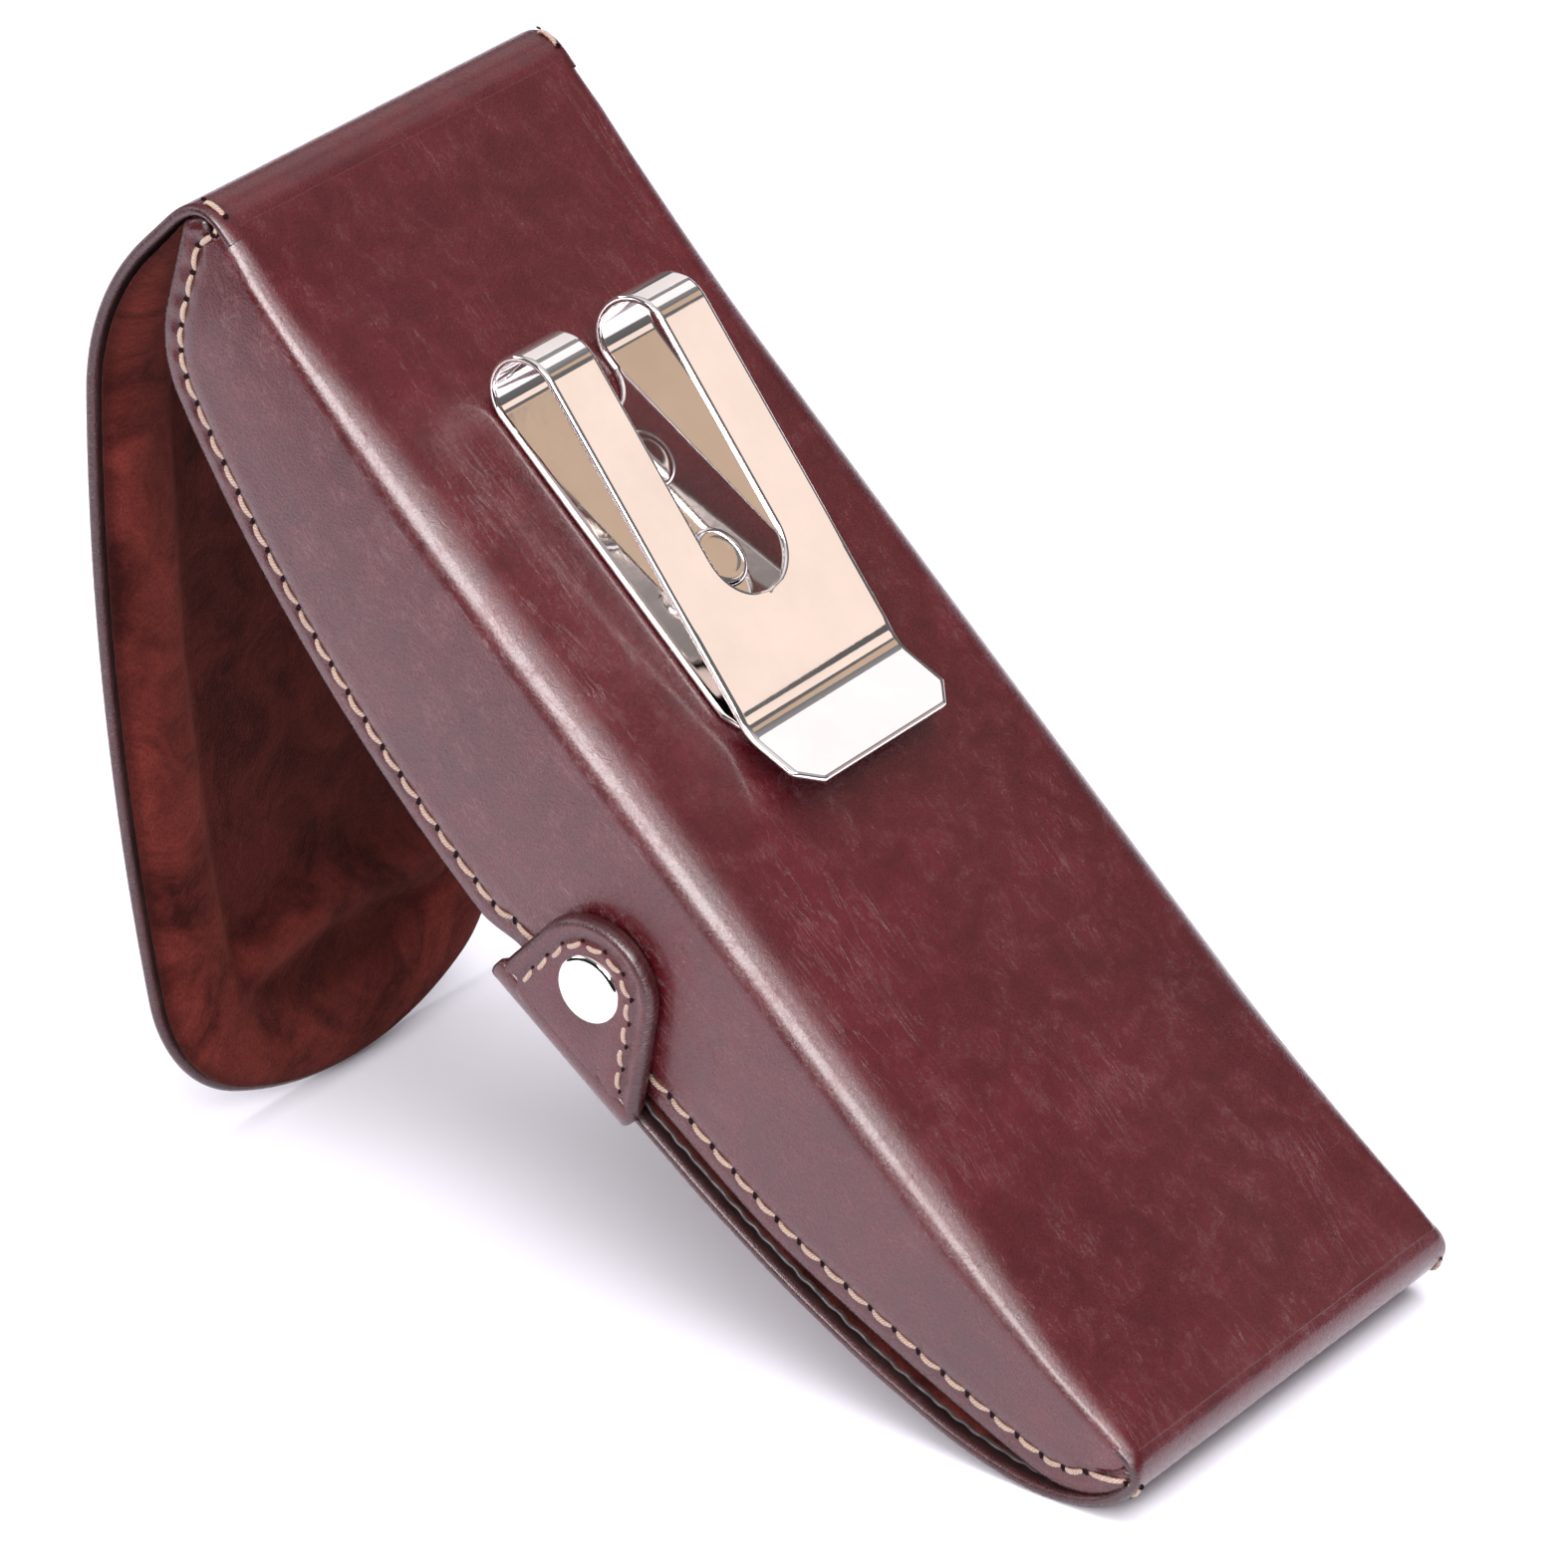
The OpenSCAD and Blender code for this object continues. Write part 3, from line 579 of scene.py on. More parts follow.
def flap_inside():
    """The flap's soft backing, whose puckered edge shows beside the leather's edge."""
    s_rows = np.linspace(5.5, flap_len - 1.0, 170)
    w = edge_columns(HALF - 1.0)
    n, m = len(s_rows), len(w)
    room = 2.0 * smooth(6, 24, s_rows) + 0.35
    u, d, h = strip_grid(flap_path, s_rows, w, 0)
    gap = np.minimum(w + HALF - 1.0, HALF - 1.0 - w)
    lift = LEATHER + 0.15 + room[:, None] * 0.5 * np.ones(m)
    pucker = 0.07 * np.sin(s_rows * 2 * np.pi / 2.4 + 1.6 * np.sin(s_rows / 3.0) + np.sin(s_rows / 7.3))[:, None] * np.exp(-gap / 1.0)[None, :]
    U = u[:, None] - (lift + pucker) * np.sin(h)[:, None]
    D = d[:, None] + (lift + pucker) * np.cos(h)[:, None]
    wave = np.sin(s_rows * 2 * np.pi / 3.1 + 1.9 * np.sin(s_rows / 5.1))
    W = np.repeat(w[None, :], n, 0) + 0.09 * np.sign(w)[None, :] * wave[:, None] * np.exp(-gap / 0.8)[None, :]
    thin = -0.28 * np.exp(-gap / 0.9)[None, :] * np.ones((n, 1))
    p = mm(U, W, D).reshape(-1, 3)
    uv = np.stack([W, 40 + np.repeat(s_rows[:, None], m, 1)], -1).reshape(-1, 2) / 1000
    thick = 1.0
    obj = sheet("flap_plush", p, quads(n, m), uv, thick, 0.45, [PLUSH, PLUSH, BACKING], flip=FLAP_FLIP, top=thin.reshape(-1), bottom=thin.reshape(-1))
    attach(obj, "case")
    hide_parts("flap_lining", "flap_board", "keeper_plate")


flap_inside()

# ---------------------------------------------------------------- hinge and lid
lid_walk = walk(*LID, step=0.6)


def hinge_bend(start, end, steps=60):
    """A bend whose curve starts and ends gently, from (u, d, heading) start to end."""
    f = np.linspace(0, 1, steps)
    heading = start[2] + (end[2] - start[2]) * (0.55 * (f - np.sin(2 * np.pi * f) / (2 * np.pi)) + 0.45 * f)
    ahead = np.stack([np.cos(heading[1:]) + np.cos(heading[:-1]), np.sin(heading[1:]) + np.sin(heading[:-1])], -1)
    reach = np.cumsum(np.r_[[[0, 0]], 0.5 * ahead], axis=0)
    gap = np.array([end[0] - start[0], end[1] - start[1]])
    reach *= gap / reach[-1]
    return np.column_stack([start[0] + reach[:, 0], start[1] + reach[:, 1], heading])


bend = np.vstack([[HINGE[0] + OVERLAP, 0.0, math.pi], hinge_bend((HINGE[0], 0.0, math.pi), tuple(lid_walk[0]))])
lid_path = np.vstack([bend, lid_walk[1:]])
lid_len = lengths(lid_path[:, :2])[-1]
LID_HALF = HALF
CORNER_R, TIP_R = 16.0, 50.0
TIP_DEEP = TIP_R - math.sqrt((TIP_R - CORNER_R) ** 2 - (LID_HALF - CORNER_R) ** 2)


def tongue(inset, n_side=150, n_corner=36, n_tip=26):
    """Half outline of the lid from the hinge to the middle of the tip, as (s, w, outward angle)."""
    mid = LID_HALF - CORNER_R
    swing = math.asin(mid / (TIP_R - CORNER_R))
    rc, rt = CORNER_R - inset, TIP_R - inset
    side = [(s, LID_HALF - inset, math.pi / 2) for s in np.linspace(0, lid_len - TIP_DEEP, n_side)]
    corner = [(lid_len - TIP_DEEP + rc * math.cos(a), mid + rc * math.sin(a), a) for a in np.linspace(math.pi / 2, swing, n_corner)[1:]]
    tip = [(lid_len - TIP_R + rt * math.cos(a), rt * math.sin(a), a) for a in np.linspace(swing, 0, n_tip)[1:]]
    return np.array(side + corner + tip)


def tongue_grid(insets, spine=16, first=0.0):
    """A grid over the lid's plan: concentric lines near the edge, then lines drawn to the middle. first trims the hinge end."""
    rings = [tongue(e) for e in insets]
    outer = rings[-1]
    keep_at = lid_len - TIP_DEEP - 8
    heart = np.stack([np.minimum(outer[:, 0], keep_at), np.zeros(len(outer))], -1)
    levels = [r[:, :2] for r in rings]
    for k in range(1, spine + 1):
        f = k / spine
        levels.append(outer[:, :2] * (1 - f) + heart * f)
    half = np.stack(levels, 1)
    e = np.array(list(insets) + [insets[-1] + 1] * spine, float)
    dist = np.zeros(half.shape[:2])
    step = np.linalg.norm(np.diff(half, axis=1), axis=2)
    dist[:, 1:] = np.cumsum(step, 1)
    dist[:, :len(insets)] = np.array(insets)[None, :]
    dist[:, len(insets):] += insets[-1] - (dist[:, len(insets) - 1:len(insets)] - insets[-1]) * 0
    if first > 0:
        half[..., 0] = first + half[..., 0] * (lid_len - first) / lid_len
    left = half[:, ::1].copy()
    right = left[:, -2::-1].copy()
    right[..., 1] *= -1
    full = np.concatenate([left, right], 1)
    d2 = np.concatenate([dist, dist[:, -2::-1]], 1)
    return full, d2


def lid_points(s, w, depth):
    """Points depth mm inside the lid's outer face, at arc length s and across w."""
    q = along(lid_path, s)
    u = q[..., 0] + depth * np.sin(q[..., 2])
    d = q[..., 1] - depth * np.cos(q[..., 2])
    return mm(u, w, d)


def lid_leather():
    insets = (0.65, 0.9, 1.2, 1.6, 2.0, 2.4, 2.9, 3.6, 4.8, 6.5)
    g, dist = tongue_grid(insets)
    n, m = g.shape[:2]
    r = 1.75 * (1 - smooth(0, 9, g[..., 0])) + 1e-6
    over = np.clip((np.abs(g[..., 1]) - (HALF - r)) / r, 0, 0.97)
    p = lid_points(g[..., 0], g[..., 1], LEATHER / 2 + 0.03 * (1 - smooth(0.6, 1.6, g[..., 0])) + r * (1 - np.sqrt(1 - over ** 2))).reshape(-1, 3)
    uv = np.stack([g[..., 1] + 300, HINGE[0] + OVERLAP - g[..., 0]], -1).reshape(-1, 2) / 1000
    edge = dist - 0.0
    outline = lengths(tongue(2.2)[:, :2])
    ph = np.cos(2 * np.pi * outline / STITCH)[:, None] * np.ones(m)
    groove = (-0.13 * np.exp(-((edge - SEAM_IN) / 0.7) ** 2) * (1 + 0.4 * ph)) * smooth(14, 20, g[..., 0])
    # painted shade in the stitch groove, and a darker band along the lid's edge
    dark = 0.5 * np.exp(-((edge - SEAM_IN) / 0.6) ** 2) + 0.4 * np.exp(-(edge / 0.9) ** 2)
    obj = sheet("lid_skin", p, quads(n, m), uv, LEATHER, 0.65, [OXBLOOD, BACKING, EDGE], flip=LID_FLIP,
                top=groove.reshape(-1), shade=dark.reshape(-1), open_rows=range(m))
    tuple(world(4.0, 0, 0.0))
    tuple(world(-2.0, 0, 8.0))
    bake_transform(obj)
    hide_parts("lid_leather", "hinge_leather")


LID_FLIP = True
lid_leather()


def lid_plush():
    """Padded plush with a raised border, a recess, and a ridge over the magnet bar."""
    insets = (1.0, 1.3, 1.7, 2.2, 3.0, 4.0, 5.2, 6.6, 8.0, 9.2, 10.2, 11.0, 11.8, 12.6)
    g, dist = tongue_grid(insets, spine=22, first=2.0)
    n, m = g.shape[:2]
    s, w = g[..., 0], g[..., 1]
    edge = dist
    pillow = 0.4 + 1.9 * (1 - np.exp(-((edge - 0.6) / 1.6))) + 0.35 * np.exp(-((edge - 6.0) / 3.0) ** 2)
    low = smooth(9.0, 12.2, edge) * smooth(20, 34, s)
    dish = -1.5 * low
    ridge_at = lid_len - 20.0 + 0.02 * w ** 2 * 0.4
    ridge = 2.5 * np.exp(-(np.abs(s - ridge_at) / 2.8) ** 3) * (1 - smooth(15.5, 20.5, np.abs(w)))
    wave = 0.10 * np.sin(s / 4.3 + 1.3 * np.sin(w / 5.0)) * smooth(2, 5, edge) + 0.08 * np.sin(w / 2.6 + s / 7.0) * smooth(2, 5, edge)
    flat = 1 - 0.8 * (1 - smooth(2, 16, s))
    depth = LEATHER + 0.05 + (pillow + dish + ridge + wave) * flat
    # painted shade: darker over the recess, less so on the ridge where it is lit, and in the crease just inside the
    # edge
    dark = (0.75 * low * (1 - 0.8 * np.exp(-((s - ridge_at) / 3.0) ** 2)) + 0.8 * np.exp(-((edge - 1.0) / 0.7) ** 2)).reshape(-1)
    top = lid_points(s, w, depth)
    p = top.reshape(-1, 3)
    uv = np.stack([w + 30, s], -1).reshape(-1, 2) / 1000
    obj = sheet("lid_plush", p, quads(n, m), uv, 0.5, 0.35, [BACKING, PLUSH, PLUSH], flip=LID_FLIP, shade=dark)
    tuple(world(4.0, 0, 0.0))
    tuple(world(-2.0, 0, 8.0))
    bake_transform(obj)
    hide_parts("lid_lining", "lid_board", "magnet_bar", "hinge_lining")


lid_plush()

# ---------------------------------------------------------------- closing tabs
tab_turn = flap_path[-1, 2] - math.pi
mouth = along(flap_path, flap_len - 14.0)
FOLD_OUT = 3.1
# the flat of the tab stops this far short of the fold line, under the fold piece, so it clears the flap when open
TAB_BACK = 0.4
fold_u = 94.4112
fold_d = 28.3249
TAB_R = 8.3
TAB_NEAR = SNAP[0] - TAB_R
TAB_FAR = SNAP[0] + 13.9


def fold_depth(u):
    return fold_d + (u - fold_u) * math.tan(tab_turn)


def tab_outline(inset, n=90):
    """Edge of the tab from the mouth side round the button to the far side, as (u, d)."""
    r = TAB_R - inset
    far = np.array([TAB_FAR - inset * 1.1, fold_depth(TAB_FAR) - TAB_BACK])
    mid = np.array(SNAP)
    reach = np.linalg.norm(far - mid)
    swing = math.atan2(far[1] - mid[1], far[0] - mid[0]) - math.acos(r / reach)
    left = [(mid[0] - r, x) for x in np.linspace(fold_depth(TAB_NEAR) - TAB_BACK, mid[1], 10)]
    turn = [(mid[0] + r * math.cos(a), mid[1] + r * math.sin(a)) for a in np.linspace(-math.pi, swing, n - 30)[1:]]
    end = np.array(turn[-1])
    right = [tuple(end + (far - end) * f) for f in np.linspace(0, 1, 22)[1:]]
    pts = np.array(left + turn + right)
    at = lengths(pts)
    q = np.linspace(0, at[-1], n)
    return np.stack([np.interp(q, at, pts[:, k]) for k in range(2)], -1)


def tab(side, name):
    """The tab's leather and backing: a flat piece over the wall, stopping short of the fold."""
    insets = (1.2, 1.4, 1.7, 2.0, 2.3, 2.6, 3.0, 3.6, 4.6, 6.0)
    rings = np.stack([tab_outline(e) for e in insets], 1)
    n = rings.shape[0]
    last = rings[:, -1]
    share = lengths(last)
    foot_u = last[0, 0] + (last[-1, 0] - last[0, 0]) * share / share[-1]
    heart = np.stack([foot_u, fold_depth(foot_u) - TAB_BACK], -1)
    levels = [rings[:, k] for k in range(len(insets))] + [last * (1 - f) + heart * f for f in np.linspace(0, 1, 9)[1:]]
    plan = np.stack(levels, 1)
    dist = np.concatenate([np.array(insets), insets[-1] + np.linspace(0, 6, 9)[1:]])[None, :] * np.ones((n, 1))
    m = plan.shape[1]
    outer = HALF + 0.7 + 2.4
    thick = 2.4
    top = -0.28 * np.exp(-((dist - 2.3) / 0.65) ** 2) + 0.12 * np.exp(-((dist - 4.2) / 1.2) ** 2)
    hollow = 0.25 * np.exp(-(np.hypot(plan[..., 0] - SNAP[0], plan[..., 1] - SNAP[1]) / 4.6) ** 4)
    W = side * (outer - thick / 2 + 0 * dist)
    p = mm(plan[..., 0], W, plan[..., 1]).reshape(-1, 3)
    uv = np.stack([plan[..., 0] + 500, plan[..., 1]], -1).reshape(-1, 2) / 1000
    # painted shade in the stitch groove, 2.3 mm in from the tab's edge
    shade = (0.9 * np.exp(-((dist - 2.3) / 0.5) ** 2)).reshape(-1)
    obj = sheet(name + "_tab_skin", p, quads(n, m), uv, thick, 1.05, [OXBLOOD, BACKING, EDGE], flip=(side > 0),
                top=(top - hollow).reshape(-1), shade=shade, turns=8)
    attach(obj, name + "_tab")
    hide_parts(name + "_tab_leather", name + "_tab_backing")


def tab_fold(side, name):
    """The rounded fold between the tab and the flap."""
    us = np.linspace(TAB_NEAR + 0.35, TAB_FAR - 0.9, 40)
    angles = np.radians(np.linspace(-14, 104, 26))
    t = 1.5
    r = FOLD_OUT - t / 2
    U = np.repeat(us[:, None], len(angles), 1)
    D = fold_depth(us)[:, None] + r * np.sin(angles)[None, :]
    W = side * (HALF + r * np.cos(angles))[None, :] + 0 * U
    p = mm(U, W, D).reshape(-1, 3)
    uv = np.stack([U + 500, 28 + r * angles[None, :] + 0 * U], -1).reshape(-1, 2) / 1000
    obj = sheet(name + "_fold_skin", p, quads(len(us), len(angles)), uv, t, 0.6, [OXBLOOD, BACKING, EDGE], flip=(side > 0), open_rows=[])
    tuple(world(fold_u, side * (HALF + 0.3), fold_d + 2.6))
    tuple(world(fold_u, side * (HALF + 2.6), fold_d + 0.3))
    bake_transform(obj)
    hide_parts(name + "_tab_fold")


for side, name in ((-1, "left"), (1, "right")):
    tab(side, name)
    tab_fold(side, name)

# ---------------------------------------------------------------- stitches
def stitch_set(name, runs, body, replaced, radius=0.285, sag=0.45):
    """Separate stitches: each run is rows of (hole a, hole b, surface normal, sideways), all in mm in world axes."""
    ring, length = 8, 11
    pts, uvs, faces = [], [], []
    holes, hole_faces = [], []
    for a, b, normal, sideways in runs:
        a, b = np.asarray(a, float), np.asarray(b, float)
        normal = normal / np.linalg.norm(normal)
        tilt = 0.17 + 0.04 * rng.standard_normal()
        a = a + sideways * tilt
        b = b - sideways * tilt
        a = a + (b - a) * 0.06
        b = b - (b - a) * 0.06
        run = b - a
        span = np.linalg.norm(run)
        t = np.linspace(0, 1, length)
        height = radius * 0.55 + 0.05 * rng.standard_normal() * 0.4 - sag * (np.abs(2 * t - 1) ** 3.2) * 1.25
        bow = 0.16 + 0.05 * rng.standard_normal()
        centre = a + run * t[:, None] + normal * height[:, None] + sideways * (bow * np.sin(np.pi * t))[:, None]
        ahead = np.gradient(centre, axis=0)
        ahead /= np.linalg.norm(ahead, axis=1, keepdims=True)
        across = np.cross(normal, ahead)
        across /= np.linalg.norm(across, axis=1, keepdims=True)
        up = np.cross(ahead, across)
        width = radius * (0.72 + 0.34 * np.sin(np.pi * np.clip(t, 0.04, 0.96)) ** 0.6)
        first = sum(len(x) for x in pts)
        turn = np.linspace(0, 2 * np.pi, ring, endpoint=False)
        for k in range(length):
            twist = 1 + 0.07 * np.cos(3 * turn + 9 * t[k] * np.pi)
            pts.append(centre[k] + across[k] * (width[k] * 1.08 * twist * np.cos(turn))[:, None]
                       + up[k] * (width[k] * 0.85 * twist * np.sin(turn))[:, None])
            uvs.append(np.stack([turn / (2 * np.pi) * 2.0, np.full(ring, t[k] * 5.5)], -1))
        faces.append(quads(length, ring, closed=True) + first)
        for end, way in ((a, -1), (b, 1)):
            middle = end + run / span * way * 0.12 + normal * 0.035
            side = np.cross(normal, run / span)
            base = sum(len(x) for x in holes)
            oval = np.linspace(0, 2 * np.pi, 10, endpoint=False)
            rim_pts = middle + (run / span) * (0.30 * np.cos(oval))[:, None] + side * (0.36 * np.sin(oval))[:, None]
            holes.append(np.vstack([rim_pts, [middle + normal * 0.02]]))
            hole_faces += [(base + k, base + (k + 1) % 10, base + 10, base + 10) for k in range(10)]
    points = np.concatenate(pts)
    obj = mesh(name, points / 1000, np.concatenate(faces), THREAD, np.concatenate(uvs))
    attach(obj, body)
    if replaced:
        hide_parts(*replaced)
    # painted shade: a flat dark disc at each needle hole stands in for the shade inside it
    dark = mesh(name + "_hole_shade", np.concatenate(holes) / 1000, hole_faces, HOLE_SHADE)
    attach(dark, body)
    return obj


def spaced(path, pitch):
    """Points of a polyline a pitch apart: each column of the path, interpolated there."""
    at = lengths(path)
    count = int(at[-1] // pitch)
    start = (at[-1] - count * pitch) / 2
    s = start + np.arange(count + 1) * pitch
    return np.stack([np.interp(s, at, path[:, k]) for k in range(path.shape[1])], -1)


def wall_seam(side):
    """Stitches along a wall's rim: the column of the body grid that lies on the seam."""
    inward = np.stack([np.sin(rim[:, 2]), -np.cos(rim[:, 2])], -1)
    first, last = 3.2, rim_s[-1] - 3.4
    s = np.arange(0, rim_s[-1], STITCH)
    s = s[(s > first) & (s < last)]
    uu = np.interp(s, rim_s, rim[:, 0] + inward[:, 0] * SEAM_IN)
    dd = np.interp(s, rim_s, rim[:, 1] + inward[:, 1] * SEAM_IN)
    out_w = HALF - 0.35 * (1 - smooth(0.5, 4.5, SEAM_IN)) + 0.35 * 0.25 - 0.10
    p = mm(uu, side * out_w, dd)
    return p


def seam_runs(points, normal, flip=1, breaks=()):
    runs = []
    for k in range(len(points) - 1):
        if k in breaks:
            continue
        run = points[k + 1] - points[k]
        nk = normal if np.ndim(normal) == 1 else normal[k]
        side = np.cross(nk, run)
        runs.append((points[k], points[k + 1], nk, flip * side / np.linalg.norm(side)))
    return runs


for side, name in ((-1, "left"), (1, "right")):
    p = wall_seam(side)
    normal = np.array([0.0, side, 0.0])
    runs = seam_runs(p, normal, flip=side)
    # over the corners: on to the hinge end and round the lower end
    none = np.zeros(3)
    climb = [p[0], mm(3.1, side * 29.55, 1.9), mm(2.4, side * 28.2, -0.02), mm(-0.6, side * 28.4, 1.0)]
    runs.append((climb[0], climb[1], np.array([0.1, side * 1.0, 0.1]), none))
    runs.append((climb[1], climb[2], np.array([0.35, side * 0.75, 0.75]), none))
    runs.append((climb[2], climb[3], np.array([0.1, side * 0.2, 1.0]), none))
    climb = [p[-1], mm(164.3, side * 29.45, 2.6), mm(165.45, side * 28.5, 2.2), mm(165.75, side * 28.3, 4.4)]
    runs.append((climb[0], climb[1], np.array([0.2, side * 1.0, -0.1]), none))
    runs.append((climb[1], climb[2], np.array([0.55, side * 0.7, 0.1]), none))
    runs.append((climb[2], climb[3], np.array([0.75, side * 0.1, -0.6]), none))
    stitch_set(name + "_wall_thread", runs, "case", [name + "_wall_stitching"])

    line = tab_outline(3.0, 200)
    line = line[(line[:, 1] < fold_depth(line[:, 0]) - 0.1)]
    q = spaced(line, 2.9)
    w_out = HALF + 0.7 + 2.4 - 0.16
    pts = mm(q[:, 0], side * w_out, q[:, 1])
    stitch_set(name + "_tab_thread", seam_runs(pts, normal, flip=side), name + "_tab", [name + "_tab_stitching"], radius=0.26)

mouth_s = flap_len - SEAM_IN
q = along(flap_path, mouth_s)
ws = np.arange(-7, 8) * STITCH - STITCH / 2
pts = np.array([mm(q[0] - (-0.02) * math.sin(q[2]), w, q[1] + (-0.02) * math.cos(q[2])) for w in ws])
out_normal = mm(q[0] + math.sin(q[2]), 0, q[1] - math.cos(q[2])) - mm(q[0], 0, q[1])
stitch_set("flap_thread", seam_runs(pts, out_normal), "case", ["flap_stitching"])


# ---------------------------------------------------------------- metal parts
def turned(name, profile, centre, axis, material, segments=64, flip=False):
    """A turned part: profile is rows of (radius, height) in mm along axis."""
    centre, axis = np.asarray(centre, float), np.asarray(axis, float) / np.linalg.norm(axis)
    helper = np.array([1.0, 0, 0]) if abs(axis[0]) < 0.8 else np.array([0, 1.0, 0])
    x = np.cross(axis, helper)
    x /= np.linalg.norm(x)
    y = np.cross(axis, x)
    turn = np.linspace(0, 2 * np.pi, segments, endpoint=False)
    rings = [centre + axis * h + r * (np.cos(turn)[:, None] * x + np.sin(turn)[:, None] * y) for r, h in profile]
    return mesh(name, np.concatenate(rings) / 1000, quads(len(profile), segments, closed=True), material, flip=not flip)


for side, name in ((-1, "left"), (1, "right")):
    face = HALF + 0.7 + 2.4
    cap = [(0.01, 0.66), (1.6, 0.655), (2.8, 0.64), (3.4, 0.61), (3.7, 0.53), (3.9, 0.38), (4.0, 0.15), (3.95, -0.1), (3.8, -0.3)]
    obj = turned(name + "_cap", cap, mm(SNAP[0], side * (face - 0.22), SNAP[1]), (0, side, 0), NICKEL)
    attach(obj, name + "_tab")
    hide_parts(name + "_snap_cap")

CLIP_HALF = 13.25
CLIP_T = 0.8
LOOP = (35.5, -4.75)
LOOP_R = 4.35
LEAF_TILT = math.radians(9.9)
SLOT_HALF = 6.0
SLOT_END = 66.3


def clip_sheet(name, rows_uv, inner, outer, path_point, flip, open_first=False, open_last=False, bulge=0.28):
    """Two mirrored halves of a strip with a slot between them. inner and outer give the half widths of each row."""
    rows_at = np.asarray(rows_uv)
    n = len(rows_at)
    fr = np.concatenate([[0, 0.04, 0.1, 0.2], np.linspace(0.3, 0.7, 5), [0.8, 0.9, 0.96, 1.0]])
    m = len(fr)
    W = inner[:, None] + (outer - inner)[:, None] * fr[None, :]
    U, D = path_point
    right = mm(np.repeat(U[:, None], m, 1), W, np.repeat(D[:, None], m, 1)).reshape(-1, 3)
    left = mm(np.repeat(U[:, None], m, 1), -W, np.repeat(D[:, None], m, 1)).reshape(-1, 3)
    f = quads(n, m)
    allp = np.concatenate([right, left])
    allf = np.concatenate([f, f[:, ::-1] + n * m])
    # weld the two halves where there is no slot
    weld = {n * m + i * m: i * m for i in range(n) if inner[i] < 1e-6}
    table = np.arange(2 * n * m)
    for k, v in weld.items():
        table[k] = v
    used = np.unique(table)
    new = -np.ones(2 * n * m, int)
    new[used] = np.arange(len(used))
    allf = new[table[allf]]
    allp = allp[used]
    skip = []
    for flag, i in ((open_first, 0), (open_last, n - 1)):
        if flag:
            skip += [new[table[i * m + j]] for j in range(m)] + [new[table[n * m + i * m + j]] for j in range(m)]
    return sheet(name, allp, allf, allp[:, :2] * 0.001, CLIP_T, bulge, [NICKEL, NICKEL, NICKEL], flip=flip, open_rows=skip)


# back plate, with a notch between the loops
a = np.concatenate([np.linspace(LOOP[0], 35.6, 2), np.linspace(35.8, 41.5, 26), np.linspace(42, 76.4, 20), [76.6, 76.8]])
notch = np.where(a < 37.0, 4.9, np.sqrt(np.maximum(4.7 ** 2 - np.maximum(a - 36.4, 0) ** 2, 0)))
notch[a > 41.05] = 0
outer = np.full(len(a), CLIP_HALF) - 1.2 * smooth(75.2, 76.9, a)
plate = clip_sheet("clip_plate_metal", a, notch, outer, (a, np.full(len(a), -CLIP_T / 2)), True, open_first=True)
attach(plate, "case")
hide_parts("clip_plate")

# rolled loops
turn = np.linspace(0, math.pi + LEAF_TILT, 60)
lu = LOOP[0] - LOOP_R * np.sin(turn)
ld = LOOP[1] + LOOP_R * np.cos(turn)
inner = 4.9 + (SLOT_HALF - 4.9) * smooth(0.1, 1.0, turn / turn[-1])
loops = clip_sheet("clip_loop_metal", turn, inner, np.full(60, CLIP_HALF), (lu, ld), True, open_first=True, open_last=True)
tuple(world(LOOP[0], 0, -1.0))
tuple(world(LOOP[0], 0, -8.6))
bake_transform(loops)
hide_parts("clip_loops")

# leaf with its slot, crease and lip
leaf_runs = [(38.7, 0), (1.8, 6), (3.4, -34.0), (7.3, 0)]
leaf_path = walk((lu[-1], ld[-1], math.degrees(LEAF_TILT)), leaf_runs, step=0.45)
end_at = SLOT_END - leaf_path[0, 0]
sl = end_at / math.cos(LEAF_TILT)
leaf_end = lengths(leaf_path[:, :2])[-1]
leaf_s = np.concatenate([np.linspace(0, sl - SLOT_HALF, 40)[:-1],
                         sl - SLOT_HALF * np.cos(np.linspace(0, np.pi / 2, 26)),
                         np.linspace(sl, leaf_end - 2.4, 60)[1:],
                         np.linspace(leaf_end - 2.4, leaf_end, 8)[1:]])
leaf_path = along(leaf_path, leaf_s)
inner = np.where(leaf_s < sl - SLOT_HALF, SLOT_HALF, np.sqrt(np.maximum(SLOT_HALF ** 2 - np.maximum(leaf_s - (sl - SLOT_HALF), 0) ** 2, 0)))
near_end = np.abs(leaf_s - sl).argmin()
inner[near_end:] = 0
outer = np.full(len(leaf_s), CLIP_HALF)
outer -= 2.6 * np.clip((leaf_s - (leaf_s[-1] - 2.4)) / 2.4, 0, 1)
leaf = clip_sheet("clip_leaf_metal", leaf_s, inner, outer, (leaf_path[:, 0], leaf_path[:, 1]), False, open_first=True)
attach(leaf, "clip_leaf_body")
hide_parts("clip_leaf")

up = mm(0, 0, -1) - mm(0, 0, 0)
for k, u in enumerate((47.0, 60.0)):
    head = [(0.01, 0.60), (1.5, 0.595), (2.3, 0.60), (2.8, 0.64), (3.1, 0.60), (3.4, 0.40), (3.55, 0.15), (3.6, 0.0)]
    obj = turned(f"clip_rivet_{k + 1}", head, mm(u, 0, -CLIP_T), up, NICKEL)
    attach(obj, "case")
    if k == 0:
        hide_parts("clip_rivets")

for n in ("left_snap_stud", "right_snap_stud", "left_stud_rivet", "right_stud_rivet", "rivet_washers", "left_snap_socket", "right_snap_socket"):
    frame["nodes"][n].data.materials.clear()
    frame["nodes"][n].data.materials.append(STEEL)


